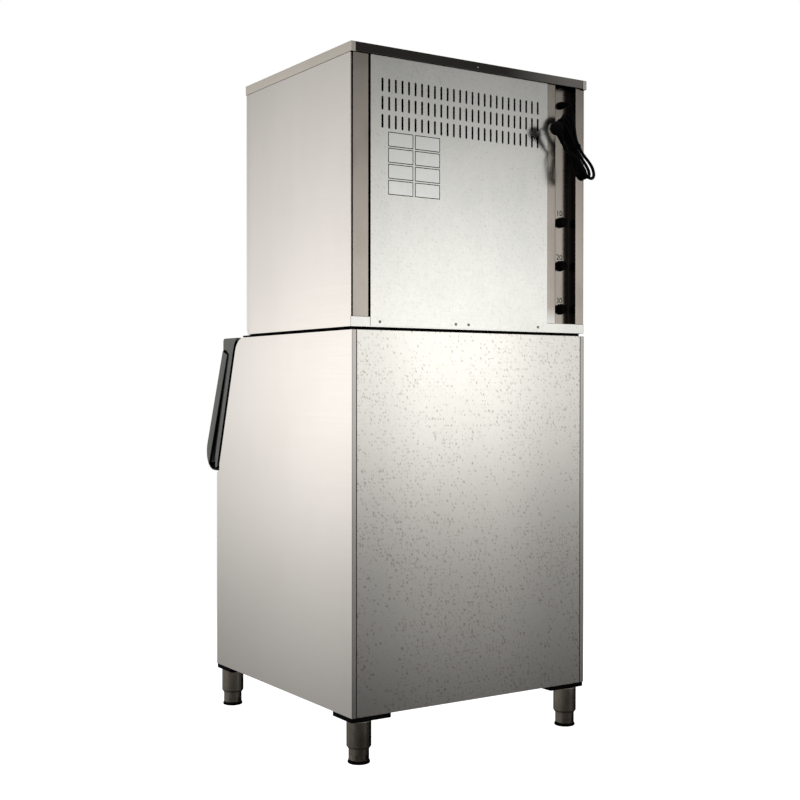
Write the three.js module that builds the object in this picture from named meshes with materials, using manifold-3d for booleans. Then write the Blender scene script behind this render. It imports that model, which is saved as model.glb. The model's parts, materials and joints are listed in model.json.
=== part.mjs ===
import * as THREE from 'three';
import { mergeVertices } from 'three/addons/utils/BufferGeometryUtils.js';
import Module from 'manifold-3d';

const wasm = await Module();
wasm.setup();

// A modular ice maker: an ice-making head standing on a storage bin with a sloping front door.
// Millimetres. +X is the right-hand side seen from the front, the front faces -Y, +Z is up.
// While the parts are built, z = 0 is the floor and y = 0 is the rear face of the head.

// Cabinet sizes
const width = 760;
const headDepth = 574;
const headHeight = 704;
const binInset = 2.5;
const binDepth = 781;
const binHeight = 965.5;
const binRearStep = 4;
const legHeight = 121.5;
const seamHeight = 8;
const sheet = 1.2;
const fit = 0.3;

// Top cover
const coverOverhangRear = 7;
const coverOverhangSide = 2;
const coverSkirt = 25;
const coverRearSkirt = 23;
const coverCornerWrap = 13;

// Head panels
const baseFlange = 25;
const sideHem = 2.4;
const frontReturn = 15;
const frontPanelRise = 12;
const screwLedge = 12;

// Rear face of the head
const rightPostWidth = 45;
const rightPostGap = 6;
const leftPostWidth = 27;
const leftPostGap = 2;
const postDepth = 20;
const rearPanelGap = 6;
const stripWidth = 28;
const channelWidth = 74;
const channelDepth = 27;

// Cooling slots of the rear panel
const ventColumns = 26;
const ventRows = 3;
const ventMargin = 34.65;
const ventRowPitch = 45.5;
const ventLength = 35.5;
const ventWidth = 6;
const ventDrop = 77.8;

// Water and drain fittings, and the cable gland
const fittingCount = 3;
const fittingSpacing = 120.5;
const fittingRise = 67;
const fittingNut = 30;
const fittingNutLength = 9;
const fittingCap = 25;
const fittingReach = 19;
const glandDrop = 71;
const glandDiameter = 21;
const glandReach = 25;
const fittingShift = 4;

// Front grille and switch
const grilleSlots = 8;
const grilleSlotLength = 180;
const grilleSlotHeight = 7;
const grillePitch = 18;
const grilleRise = 90;
const bezelWidth = 34;
const bezelHeight = 46;
const bezelDepth = 14;
const bezelWall = 3;
const rockerTilt = 10;
const switchRise = 520;
const switchInset = 110;

// Machine room: compressor, condenser, fan, electrics
const machineRoomDepth = 275;
const partitionThickness = 25;
const shelfRise = 410;
const shelfFlange = 30;
const condenserDepth = 50;
const condenserHeight = 210;
const condenserMargin = 30;
const condenserRearGap = 26;
const finCount = 22;
const finSlot = 34;
const shroudDepth = 40;
const shroudWall = 1.5;
const fanDiameter = 188;
const fanTipGap = 5;
const fanBlades = 5;
const fanDepth = 26;
const hubDiameter = 60;
const shaftDiameter = 8;
const motorDiameter = 82;
const motorLength = 60;
const motorArm = 14;
const compressorDiameter = 176;
const compressorHeight = 225;
const compressorFoot = 15;
const controlBoxWidth = 130;
const controlBoxHeight = 200;
const controlBoxDepth = 80;

// Ice-making compartment
const evaporatorColumns = 14;
const evaporatorRows = 9;
const cellPitch = 30;
const cellWall = 3;
const cellDepth = 24;
const evaporatorRise = 245;
const evaporatorSetback = 100;
const bracketThickness = 3;
const tubeDiameter = 20;
const hoseDiameter = 10;
const curtainThickness = 3;
const curtainGap = 20;
const trunnionDiameter = 6;
const troughDepth = 60;
const troughWall = 2.5;
const troughRise = 140;
const troughReach = 128;
const pumpDiameter = 64;
const pumpCup = 22;
const pumpStem = 12;
const pumpEdge = 6;
const pumpLift = 14;
const pumpMotor = 90;
const hoseBend = 14;
const pumpBay = 84;
const dropMargin = 57.5;
const dropDepth = 210;
const dropSetback = 44;

// Storage bin
const slopeHeight = 396;
const sillStep = 16;
const sillRise = 8;
const slopeStep = 24;
const slope = 0.32;
const browRadius = 55;
const panelFlange = 14.5;
const linerWall = 45;
const topPanelFront = 40;
const topPanelRear = 76;
const mouthMargin = 67.5;
const mouthStep = 89;
const mouthDrop = 94;
const seamInset = 8;
const seamMargin = 12;
const seamFront = 10;
const seamBandFront = 34;
const seamBandRear = 105;
const drainBore = 26;
const drainDiameter = 38;
const drainLength = 34;
const drainSetback = 130;

// Door frame and door
const frameFoot = 16.5;
const frameFootInset = 11;
const frameReach = 45;
const frameSide = 1.5;
const frameBendStep = 70;
const hoodFront = 40.3;
const hoodLift = 1;
const hoodDrop = 33;
const hoodCorner = 10;
const hoodThroat = 15;
const doorTopGap = 36;
const doorTopReach = 42.5;
const doorBendStep = 73.3;
const doorThickness = 37;
const doorSkin = 4.5;
const doorFlank = 6;
const doorReach = 75.6;
const doorBottomStep = 5.5;
const doorBelly = 66;
const doorLipRadius = 52;
const doorLip = 4.5;
const doorLipEnd = 6;
const doorLipGap = 3.5;
const doorTopDrop = 12.5;
const doorTopInset = 22.2;
const doorLinerGap = 6;
const gasketWidth = 14;
const pivotDrop = 21.5;
const pivotReach = 25.8;
const pinDiameter = 6;
const pinLength = 46;
const lugWidth = 22;
const lugOffset = 22.5;
const lugRadius = 8;
const lugGap = 2;

// Corner pads, legs and feet
const padThickness = 12;
const padLength = 118;
const padWidth = 98;
const legInsetSide = 40.3;
const legInsetRear = 32.7;
const legInsetFront = 24;
const legDiameter = 63;
const legSleeve = 70.7;
const legChamfer = 5;
const legWall = 3.4;
const footDiameter = 52;
const footStem = 95;
const flatHeight = 22;
const flatAcross = 49;
const footFlare = 10;
const footPad = 4.5;
const footPadDiameter = 57;

// Supply cord
const cordDiameter = 8.5;
const hankLoops = 4;
const hankHalfRun = 60;
const hankFold = 26;
const hankWaist = 4.9;
const hankTied = 9;
const hankPitch = 9.5;
const hankSplay = 0.4;
const loopSteps = 24;
const leadRoute = [
  [-1.2, 9, -2.5], [-3.7, 16.5, -12], [-5.7, 19, -27], [-7.2, 17.5, -45],
  [-7.7, 14, -63], [-4.7, 10.5, -80], [2.3, 10.5, -96], [9.8, 15.5, -111],
];
const hankTopPlace = [39.8, 20, -46];
const hankLowPlace = [-21.2, 60, -213];
const plugPlace = [76.8, 51, -84];
const plugDiameter = 37;
const plugThickness = 21;
const plugRelief = 28;
const plugPinSpacing = 19;
const plugPinReach = 19;
const plugPinDiameter = 4.8;

// Heights and depths that follow from the sizes above
const binBottom = legHeight;
const binTop = binBottom + binHeight;
const headBottom = binTop + seamHeight;
const headTop = headBottom + headHeight;
const headHalf = width / 2;
const binHalf = headHalf - binInset;
const binRear = binRearStep;
const binFront = binRear - binDepth;
const headFront = -headDepth;
const headInner = headHalf - sheet - fit;
const mouthHalf = binHalf - mouthMargin;
const dropHalf = binHalf - dropMargin;

// Heights above the underside of the bin
const frontWall = binHeight - slopeHeight;
const slopeStart = frontWall + slopeStep;
const frameBend = frontWall + frameBendStep;
const mouthLow = frontWall + mouthStep;
const mouthHigh = binHeight - mouthDrop;
const doorBottom = frontWall + doorBottomStep;
const doorTop = binHeight - doorTopGap;
const doorBend = frontWall + doorBendStep;
const pivotHeight = doorTop - pivotDrop;

const metals = {
  stainless: { color: 0xc9c5bd, roughness: 0.32, metalness: 1 },
  galvanised: { color: 0xb9bdb9, roughness: 0.42, metalness: 1 },
  darkSteel: { color: 0x6b655c, roughness: 0.35, metalness: 1 },
  nickel: { color: 0xb8b4a8, roughness: 0.3, metalness: 1 },
  aluminium: { color: 0xb4b6b8, roughness: 0.45, metalness: 1 },
};
const plastics = {
  black: { color: 0x0c0c0c, roughness: 0.5, metalness: 0 },
  blackGloss: { color: 0x0a0a0b, roughness: 0.3, metalness: 0 },
  rubber: { color: 0x101010, roughness: 0.8, metalness: 0 },
  grey: { color: 0x6d6d69, roughness: 0.5, metalness: 0 },
  white: { color: 0xe4e5e2, roughness: 0.45, metalness: 0 },
  foam: { color: 0xd8d2b8, roughness: 0.9, metalness: 0 },
  paint: { color: 0x17181a, roughness: 0.35, metalness: 0.2 },
};

const machine = new THREE.Group();

/** Adds a named part with a material of its own. */
function part(name, geometry, finish) {
  geometry.computeVertexNormals();
  const mesh = new THREE.Mesh(geometry, new THREE.MeshStandardMaterial(finish));
  mesh.name = name;
  machine.add(mesh);
  return mesh;
}

/** Turns a closed geometry inside out if its faces point inwards. */
function outward(geometry) {
  const p = geometry.attributes.position;
  const index = geometry.index;
  const a = new THREE.Vector3();
  const b = new THREE.Vector3();
  const c = new THREE.Vector3();
  let volume = 0;
  for (let i = 0; i < index.count; i += 3) {
    a.fromBufferAttribute(p, index.getX(i));
    b.fromBufferAttribute(p, index.getX(i + 1));
    c.fromBufferAttribute(p, index.getX(i + 2));
    volume += a.dot(b.cross(c));
  }
  if (volume < 0) {
    for (let i = 0; i < index.count; i += 3) {
      const first = index.getX(i);
      index.setX(i, index.getX(i + 2));
      index.setX(i + 2, first);
    }
  }
  return geometry;
}

/** A geometry with its shared vertices merged. */
function welded(geometry) {
  const bare = geometry.clone();
  bare.deleteAttribute('normal');
  bare.deleteAttribute('uv');
  return outward(mergeVertices(bare, 1e-4));
}

function toSolid(geometry) {
  const mesh = welded(geometry);
  return new wasm.Manifold(new wasm.Mesh({
    numProp: 3,
    vertProperties: new Float32Array(mesh.attributes.position.array),
    triVerts: new Uint32Array(mesh.index.array),
  }));
}

function fromSolid(solid) {
  const mesh = solid.getMesh();
  const geometry = new THREE.BufferGeometry();
  geometry.setAttribute('position', new THREE.BufferAttribute(mesh.vertProperties, 3));
  geometry.setIndex(new THREE.BufferAttribute(mesh.triVerts, 1));
  return geometry;
}

/** The first geometry with the others joined to it. */
function join(...pieces) {
  return fromSolid(pieces.map(toSolid).reduce((whole, piece) => whole.add(piece)));
}

/** The first geometry with the others cut out of it. */
function cut(body, ...tools) {
  return fromSolid(tools.map(toSolid).reduce((rest, tool) => rest.subtract(tool), toSolid(body)));
}

/** What two geometries share. */
function common(first, second) {
  return fromSolid(toSolid(first).intersect(toSolid(second)));
}

/** A box between two opposite corners. */
function box(x0, x1, y0, y1, z0, z1) {
  const geometry = new THREE.BoxGeometry(x1 - x0, y1 - y0, z1 - z0);
  return geometry.translate((x0 + x1) / 2, (y0 + y1) / 2, (z0 + z1) / 2);
}

const axes = {
  x: new THREE.Matrix4().makeBasis(
    new THREE.Vector3(0, 1, 0), new THREE.Vector3(0, 0, 1), new THREE.Vector3(1, 0, 0)),
  y: new THREE.Matrix4().makeBasis(
    new THREE.Vector3(1, 0, 0), new THREE.Vector3(0, 0, 1), new THREE.Vector3(0, -1, 0)),
  z: new THREE.Matrix4(),
};

/** A shape drawn in (y, z), (x, z) or (x, y) and pulled along x, y or z between two places. */
function pull(shape, axis, from, to) {
  const settings = { depth: to - from, bevelEnabled: false, curveSegments: 8 };
  const geometry = new THREE.ExtrudeGeometry(shape, settings);
  geometry.applyMatrix4(axes[axis]);
  if (axis === 'y') {
    return geometry.translate(0, to, 0);
  }
  return axis === 'x' ? geometry.translate(from, 0, 0) : geometry.translate(0, 0, from);
}

/** A revolved profile of [radius, height] points that stands along x, y or z from a base point. */
function turned(profile, axis, base, segments = 24) {
  const points = profile.map(([r, h]) => new THREE.Vector2(r, h));
  const geometry = new THREE.LatheGeometry(points, segments);
  if (axis === 'x') {
    geometry.rotateZ(-Math.PI / 2);
  } else if (axis === 'z') {
    geometry.rotateX(Math.PI / 2);
  }
  return geometry.translate(...base);
}

/** A solid round bar along an axis. */
function bar(radius, length, axis, base, segments = 16) {
  return turned([[0, 0], [radius, 0], [radius, length], [0, length]], axis, base, segments);
}

/**
 * A closed outline from corner points [a, b, radius], set in by a distance.
 * Round corners keep their centre: an inset makes an outer radius smaller and an inner one larger.
 */
function outline(corners, inset = 0, steps = 6) {
  const points = corners.map(([a, b]) => new THREE.Vector2(a, b));
  const count = points.length;
  const turn = Math.sign(THREE.ShapeUtils.area(points));
  const edges = points.map((point, i) => {
    const along = points[(i + 1) % count].clone().sub(point).normalize();
    const inward = new THREE.Vector2(-along.y, along.x).multiplyScalar(turn);
    return { from: point.clone().addScaledVector(inward, inset), along };
  });
  const result = [];
  for (let i = 0; i < count; i++) {
    const before = edges[(i + count - 1) % count];
    const after = edges[i];
    const cross = before.along.cross(after.along);
    const reach = after.from.clone().sub(before.from).cross(after.along) / cross;
    const corner = before.from.clone().addScaledVector(before.along, reach);
    const wanted = corners[i][2] ?? 0;
    const radius = wanted > 0 ? wanted - inset * Math.sign(cross) * turn : 0;
    if (radius <= 0) {
      result.push(corner);
      continue;
    }
    const angle = Math.atan2(cross, before.along.dot(after.along));
    const start = corner.clone().addScaledVector(before.along, -radius * Math.tan(Math.abs(angle) / 2));
    const side = new THREE.Vector2(-before.along.y, before.along.x).multiplyScalar(Math.sign(angle));
    const centre = start.clone().addScaledVector(side, radius);
    for (let k = 0; k <= steps; k++) {
      result.push(start.clone().rotateAround(centre, (angle * k) / steps));
    }
  }
  return new THREE.Shape(result);
}

function rectangle(a0, a1, b0, b1, radius = 0) {
  return [[a0, b0, radius], [a1, b0, radius], [a1, b1, radius], [a0, b1, radius]];
}

/** A long slot with round ends, drawn upright about its centre. */
function slot(a, b, slotWidth, length) {
  const r = slotWidth / 2;
  const straight = length / 2 - r;
  const points = [];
  for (let k = 0; k <= 3; k++) {
    const t = (Math.PI * k) / 3;
    points.push(new THREE.Vector2(a + r * Math.cos(t), b + straight + r * Math.sin(t)));
  }
  for (let k = 0; k <= 3; k++) {
    const t = Math.PI + (Math.PI * k) / 3;
    points.push(new THREE.Vector2(a + r * Math.cos(t), b - straight + r * Math.sin(t)));
  }
  return new THREE.Path(points);
}

/** A left and a right copy of what a builder makes for each side, -1 and +1. */
function bothSides(build) {
  for (const [side, word] of [[1, 'right'], [-1, 'left']]) {
    build(side, word);
  }
}

/** A box whose x range is measured outwards on one side of the machine. */
function sideBox(side, x0, x1, ...rest) {
  return box(Math.min(side * x0, side * x1), Math.max(side * x0, side * x1), ...rest);
}

/** The sloping front of the bin side panels: its y at a height above the underside of the bin. */
function slopeAt(height) {
  return binFront + sillStep + (height - slopeStart) * slope;
}

/** The side view of the bin in (y, z). */
function binOutline(inset) {
  return outline([
    [binRear, binBottom],
    [binFront, binBottom],
    [binFront, binBottom + frontWall],
    [binFront + sillStep, binBottom + frontWall + sillRise],
    [binFront + sillStep, binBottom + slopeStart],
    [slopeAt(binHeight), binTop, browRadius],
    [binRear, binTop],
  ], inset);
}

/** A pressed side panel of the bin: the outline with a folded flange all round. */
function binSide(side, word) {
  const outer = side * binHalf;
  const edge = outer - side * panelFlange;
  const web = outer - side * sheet;
  const past = edge - side * 1;
  const body = pull(binOutline(0), 'x', Math.min(outer, edge), Math.max(outer, edge));
  const hollow = pull(binOutline(sheet), 'x', Math.min(web, past), Math.max(web, past));
  part(`bin_side_${word}`, cut(body, hollow), metals.stainless);
}

function buildBin() {
  bothSides(binSide);
  const between = binHalf - panelFlange - fit;
  const flange = binRear - panelFlange;
  const sill = binBottom + frontWall + sillRise;
  part('bin_rear_panel', join(
    box(-between, between, binRear - sheet, binRear, binBottom, binTop),
    box(-between, -between + sheet, flange, binRear - sheet / 2, binBottom, binTop),
    box(between - sheet, between, flange, binRear - sheet / 2, binBottom, binTop),
    box(-between, between, flange, binRear - sheet / 2, binBottom, binBottom + sheet),
  ), metals.galvanised);
  part('bin_floor', cut(
    box(-between, between, binFront + sillStep, flange - fit, binBottom, binBottom + sheet),
    bar(drainBore / 2 + 4, sheet * 4, 'z', [0, -drainSetback, binBottom - sheet], 20),
  ), metals.galvanised);
  part('bin_front_panel', common(
    cut(
      pull(binOutline(0), 'x', -between, between),
      pull(binOutline(sheet), 'x', -between - 1, between + 1),
    ),
    box(-between, between, binFront - 1, binFront + sillStep - fit, binBottom, sill),
  ), metals.stainless);
  part('bin_top_panel', box(-between, between, slopeAt(binHeight) + topPanelFront,
    slopeAt(binHeight) + topPanelRear, binTop - sheet, binTop), metals.stainless);
  buildLiner();
  part('bin_drain', turned([
    [drainBore / 2, -drainLength], [drainDiameter / 2 - 3, -drainLength], [drainDiameter / 2 - 3, -4],
    [drainDiameter / 2 + 8, -4], [drainDiameter / 2 + 8, -fit], [drainBore / 2 + 3.5, -fit],
    [drainBore / 2 + 3.5, sheet], [drainBore / 2, sheet], [drainBore / 2, -drainLength],
  ], 'z', [0, -drainSetback, binBottom], 20), plastics.black);
}

/** The insulated tub: open at the top under the head and through the sloping mouth. */
function buildLiner() {
  const skin = sheet + fit;
  const rearPart = binRear - panelFlange - fit;
  const halfBlock = binHalf - skin;
  const halfCavity = halfBlock - linerWall;
  const inner = skin + linerWall;
  const cavity = outline([
    [binRear - inner - panelFlange, binTop + 10],
    [binRear - inner - panelFlange, binBottom + inner, 30],
    [binFront + inner, binBottom + inner, 30],
    [binFront + inner, binBottom + slopeStart],
    [slopeAt(binHeight) + linerWall, binTop + 10],
  ]);
  const block = common(
    pull(binOutline(skin), 'x', -halfBlock, halfBlock),
    box(-halfBlock, halfBlock, binFront, rearPart, binBottom, binTop),
  );
  part('bin_liner', cut(
    block,
    pull(cavity, 'x', -halfCavity, halfCavity),
    box(-mouthHalf, mouthHalf, binFront - 10, slopeAt(mouthHigh) + linerWall * 2,
      binBottom + mouthLow, binBottom + mouthHigh),
    bar(drainBore / 2, linerWall * 2, 'z', [0, -drainSetback, binBottom - 5], 20),
  ), plastics.white);
}

/** The front face of the door frame at a height above the underside of the bin. */
function frameFace(height) {
  return slopeAt(Math.max(height, frameBend)) - frameReach;
}

const hoodFace = binFront + hoodFront;
const frameBottom = binBottom + doorBottom + doorLip + doorLipGap;
const pivotY = slopeAt(pivotHeight) - frameReach - pivotReach;
const pivotZ = binBottom + pivotHeight;
const lugMiddle = mouthHalf + lugOffset;

/** A bar through both pairs of hinge lugs. */
function pinLine(radius, length, side) {
  return bar(radius, length, 'x', [side * lugMiddle - length / 2, pivotY, pivotZ]);
}

/** The grey moulding round the mouth, with its hood above the door and two hinge lugs. */
function buildDoorFrame() {
  const half = binHalf - frameSide;
  const foot = half - frameFootInset;
  const rear = slopeAt(binHeight) + browRadius;
  const hoodTop = binTop + hoodLift;
  const neck = pivotHeight + 13;
  const band = outline([
    [rear, hoodTop],
    [hoodFace, hoodTop, hoodCorner],
    [hoodFace, hoodTop - hoodDrop, 3],
    [frameFace(neck) - hoodThroat, hoodTop - hoodDrop - 1.5],
    [frameFace(neck), binBottom + neck],
    [frameFace(frameBend), binBottom + frameBend],
    [frameFace(frameBend) - 2, frameBottom],
    [rear, frameBottom],
  ]);
  const shell = cut(pull(band, 'x', -half, half), pull(binOutline(-frameFoot), 'x', -half - 1, half + 1));
  const seat = common(
    pull(binOutline(-frameFoot - 0.5), 'x', -foot, foot),
    box(-foot, foot, binFront - frameReach, rear, frameBottom, binTop),
  );
  const lugs = [1, -1].map((side) => {
    const x0 = side * lugMiddle - lugWidth / 2;
    const root = slopeAt(pivotHeight) - frameReach / 2;
    return join(
      bar(lugRadius, lugWidth, 'x', [x0, pivotY, pivotZ], 20),
      box(x0, x0 + lugWidth, pivotY, root, pivotZ - lugRadius, pivotZ + lugRadius),
    );
  });
  part('door_frame', cut(
    join(shell, seat, ...lugs),
    pull(binOutline(-fit), 'x', -half - 1, half + 1),
    box(-mouthHalf, mouthHalf, binFront - 2 * frameReach, 0, binBottom + mouthLow, binBottom + mouthHigh),
    pinLine(pinDiameter / 2 + fit, lugWidth + 2, 1),
    pinLine(pinDiameter / 2 + fit, lugWidth + 2, -1),
  ), plastics.grey);
}

const doorTopY = slopeAt(doorTop) - frameReach - doorTopReach;
const doorFront = binFront - doorReach;
const doorSlope = (doorTopY - doorFront) / (doorTop - doorBend);

/** The inner edge of the door's flanks at a height above the underside of the bin. */
function doorInner(height) {
  return doorTopY + doorThickness - (doorTop - height) * doorSlope;
}

/** Slots through the door's top that let it swing past the frame's hinge lugs. */
function lugSlots() {
  const reach = lugRadius + lugGap;
  return [1, -1].map((side) => sideBox(side, lugMiddle - lugWidth / 2 - 1, lugMiddle + lugWidth / 2 + 1,
    pivotY - reach, pivotY + 4 * reach, pivotZ - reach, pivotZ + 5 * reach));
}

/** The door's moulded shell, the padded liner in it, its seal and its two hinge pins. */
function buildDoor() {
  const half = binHalf - frameSide;
  const bendZ = binBottom + doorBend;
  const topZ = binBottom + doorTop - doorTopDrop;
  const topY = pivotY + doorTopInset;
  const lowZ = binBottom + doorBottom;
  const lipEnd = binFront + doorLipEnd;
  const skin = [
    [doorTopY, binBottom + doorTop],
    [doorFront, bendZ, doorBelly],
    [doorFront, lowZ, doorLipRadius],
  ];
  const deep = frameReach * 2;
  const open = [...skin, [lipEnd + deep, lowZ], [topY + deep, topZ - deep * 0.49]];
  const whole = pull(outline([...skin, [lipEnd, lowZ], [topY, topZ]]), 'x', -half, half);
  const behind = common(
    pull(outline(open, doorLip), 'x', -half - 1, half + 1),
    pull(outline([
      [doorInner(doorBottom), lowZ],
      [topY + deep, lowZ],
      [topY + deep, topZ],
      [doorInner(doorTop - doorTopDrop), topZ],
    ]), 'x', -half - 1, half + 1),
  );
  const pocket = pull(outline(open, doorSkin), 'x', -half + doorFlank, half - doorFlank);
  part('door_shell', cut(whole, behind, pocket, ...lugSlots()), plastics.grey);

  const linerLow = mouthLow - gasketWidth;
  const linerTop = doorTop - doorTopDrop - doorSkin;
  const inside = half - doorFlank - fit;
  const front = doorFront - 1;
  part('door_liner', cut(
    common(
      pull(outline(open, doorSkin + fit), 'x', -inside, inside),
      pull(outline([
        [front, binBottom + linerLow],
        [frameFace(linerLow) - doorLinerGap, binBottom + linerLow],
        [frameFace(linerTop) - doorLinerGap, binBottom + linerTop],
        [front, binBottom + linerTop],
      ]), 'x', -inside, inside),
    ),
    ...lugSlots(),
    pinLine(pinDiameter / 2 + fit, pinLength + 1, 1),
    pinLine(pinDiameter / 2 + fit, pinLength + 1, -1),
  ), plastics.black);
  buildGasket();
  bothSides((side, word) => {
    part(`hinge_pin_${word}`, pinLine(pinDiameter / 2, pinLength, side), metals.stainless);
  });
}

/** The soft seal on the back of the door, round the mouth. */
function buildGasket() {
  const low = mouthLow - gasketWidth + 3;
  const high = mouthHigh + gasketWidth - 1;
  const half = mouthHalf + gasketWidth;
  const strip = outline([
    [frameFace(low) - fit, binBottom + low],
    [frameFace(high) - fit, binBottom + high],
    [frameFace(high) - doorLinerGap + fit, binBottom + high],
    [frameFace(low) - doorLinerGap + fit, binBottom + low],
  ]);
  part('door_gasket', cut(
    pull(strip, 'x', -half, half),
    box(-mouthHalf, mouthHalf, binFront - 2 * frameReach, 0,
      binBottom + mouthLow + 3, binBottom + mouthHigh - 1),
  ), plastics.rubber);
}

function buildSeam() {
  const half = binHalf - seamInset;
  const front = headFront + seamFront;
  part('seam_gasket', cut(
    box(-half, half, front, binRear - seamMargin, binTop + fit, headBottom - fit),
    box(-dropHalf, dropHalf, front + seamBandFront, binRear - seamBandRear, binTop, headBottom),
  ), plastics.rubber);
}

const headCeiling = headTop - sheet - fit;

function buildHeadCase() {
  const dropFront = headFront + dropSetback;
  part('head_base', cut(
    box(-headInner, headInner, headFront + sheet + fit, 0, headBottom, headBottom + baseFlange),
    box(-headInner + sheet, headInner - sheet, headFront + 2 * sheet + fit, -sheet,
      headBottom + sheet, headBottom + baseFlange + 1),
    box(-dropHalf, dropHalf, dropFront, dropFront + dropDepth, headBottom - 1, headBottom + 5),
    box(-headHalf, headHalf, headFront, headFront + frontReturn + fit,
      headBottom + frontPanelRise - fit, headTop),
  ), metals.galvanised);
  bothSides((side, word) => {
    const low = headBottom;
    const high = headTop - sheet - fit;
    const front = headFront + frontReturn + fit;
    part(`head_side_${word}`, join(
      sideBox(side, headHalf - sheet, headHalf, front, 0, low, high),
      sideBox(side, headHalf - sideHem, headHalf, -screwLedge, 0, low + baseFlange + fit, high),
      sideBox(side, headHalf - screwLedge, headHalf, front, front + sheet, low + baseFlange + fit, high),
    ), metals.stainless);
  });
  buildFrontPanel();
  buildCover();
}

const switchX = headHalf - switchInset;
const switchZ = headBottom + switchRise;

function buildFrontPanel() {
  const low = headBottom + frontPanelRise;
  const high = headTop - coverSkirt - fit;
  const body = cut(
    box(-headHalf, headHalf, headFront, headFront + frontReturn, low, high),
    box(-headHalf + sheet, headHalf - sheet, headFront + sheet, headFront + frontReturn + 1,
      low + sheet, high - sheet),
  );
  const cuts = [];
  for (let i = 0; i < grilleSlots; i++) {
    const z = low + grilleRise + i * grillePitch;
    const x = -headHalf + grilleRise + grilleSlotLength / 2;
    const shape = outline(rectangle(x - grilleSlotLength / 2, x + grilleSlotLength / 2,
      z - grilleSlotHeight / 2, z + grilleSlotHeight / 2, grilleSlotHeight / 2 - 0.01), 0, 3);
    cuts.push(pull(shape, 'y', headFront - 1, headFront + sheet + 1));
  }
  const halfW = bezelWidth / 2 - bezelWall + fit;
  const halfH = bezelHeight / 2 - bezelWall + fit;
  cuts.push(box(switchX - halfW, switchX + halfW, headFront - 1, headFront + sheet + 1,
    switchZ - halfH, switchZ + halfH));
  part('head_front_panel', cut(body, ...cuts), metals.stainless);
  buildSwitch();
}

/** A rocker in a snap-in bezel, resting with its lower half pressed. */
function buildSwitch() {
  const face = headFront - fit;
  const halfW = bezelWidth / 2;
  const halfH = bezelHeight / 2;
  const neckW = halfW - bezelWall;
  const neckH = halfH - bezelWall;
  const holeW = neckW - 2;
  const holeH = neckH - 2;
  part('switch_bezel', cut(
    join(
      pull(outline(rectangle(switchX - halfW, switchX + halfW, switchZ - halfH, switchZ + halfH, 3)), 'y',
        face - 2.5, face),
      box(switchX - neckW, switchX + neckW, face - 1, face + bezelDepth, switchZ - neckH, switchZ + neckH),
    ),
    box(switchX - holeW, switchX + holeW, face - 5, face + bezelDepth - 2, switchZ - holeH, switchZ + holeH),
  ), plastics.black);
  const reach = holeH - 1.6;
  const rise = Math.tan(THREE.MathUtils.degToRad(rockerTilt)) * reach;
  const profile = new THREE.Shape([
    new THREE.Vector2(-4, 0),
    new THREE.Vector2(-4 - rise, reach),
    new THREE.Vector2(0, reach),
    new THREE.Vector2(5, 5),
    new THREE.Vector2(5, -5),
    new THREE.Vector2(0, -reach),
    new THREE.Vector2(-4 - rise, -reach),
  ]);
  const rocker = pull(profile, 'x', -holeW + 0.6, holeW - 0.6);
  rocker.rotateX(THREE.MathUtils.degToRad(rockerTilt));
  rocker.translate(switchX, face + 1.5, switchZ);
  part('power_rocker', rocker, plastics.blackGloss);
}

/** The lid of the head: a flat top with skirts; the side skirts wrap round the rear corners. */
function buildCover() {
  const half = headHalf + coverOverhangSide;
  const rear = coverOverhangRear;
  const front = headFront - fit;
  const low = headTop - coverSkirt;
  const lip = sheet;
  const wraps = [1, -1].map((side) => sideBox(side, half - coverCornerWrap, half, rear - lip / 2, rear + lip,
    low, headTop - 1.5));
  part('top_cover', join(
    box(-half, half, front - lip, rear, headTop - sheet, headTop),
    sideBox(1, half - lip, half, front - lip, rear, low, headTop),
    sideBox(-1, half - lip, half, front - lip, rear, low, headTop),
    box(-half, half, front - lip, front, low, headTop),
    box(-half, half, rear - lip, rear, headTop - coverRearSkirt, headTop),
    ...wraps,
  ), metals.stainless);
}

const rightPostOuter = headHalf - sheet - rightPostGap;
const rightPostInner = rightPostOuter - rightPostWidth;
const leftPostOuter = -(headHalf - sheet - leftPostGap);
const leftPostInner = leftPostOuter + leftPostWidth;
const channelLeft = leftPostInner + channelWidth;
const stripEdge = channelLeft + stripWidth;
const rearPanelRight = rightPostInner - rearPanelGap;
const rearPanelLeft = stripEdge + fit;
const postLow = headBottom + baseFlange + fit;
const fittingX = (leftPostInner + channelLeft) / 2 - fittingShift;

/** An upright U section with its face to the rear. */
function post(x0, x1) {
  return cut(
    box(x0, x1, -postDepth, 0, postLow, headCeiling),
    box(x0 + sheet, x1 - sheet, -postDepth - 1, -sheet, postLow - 1, headCeiling + 1),
  );
}

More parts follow.
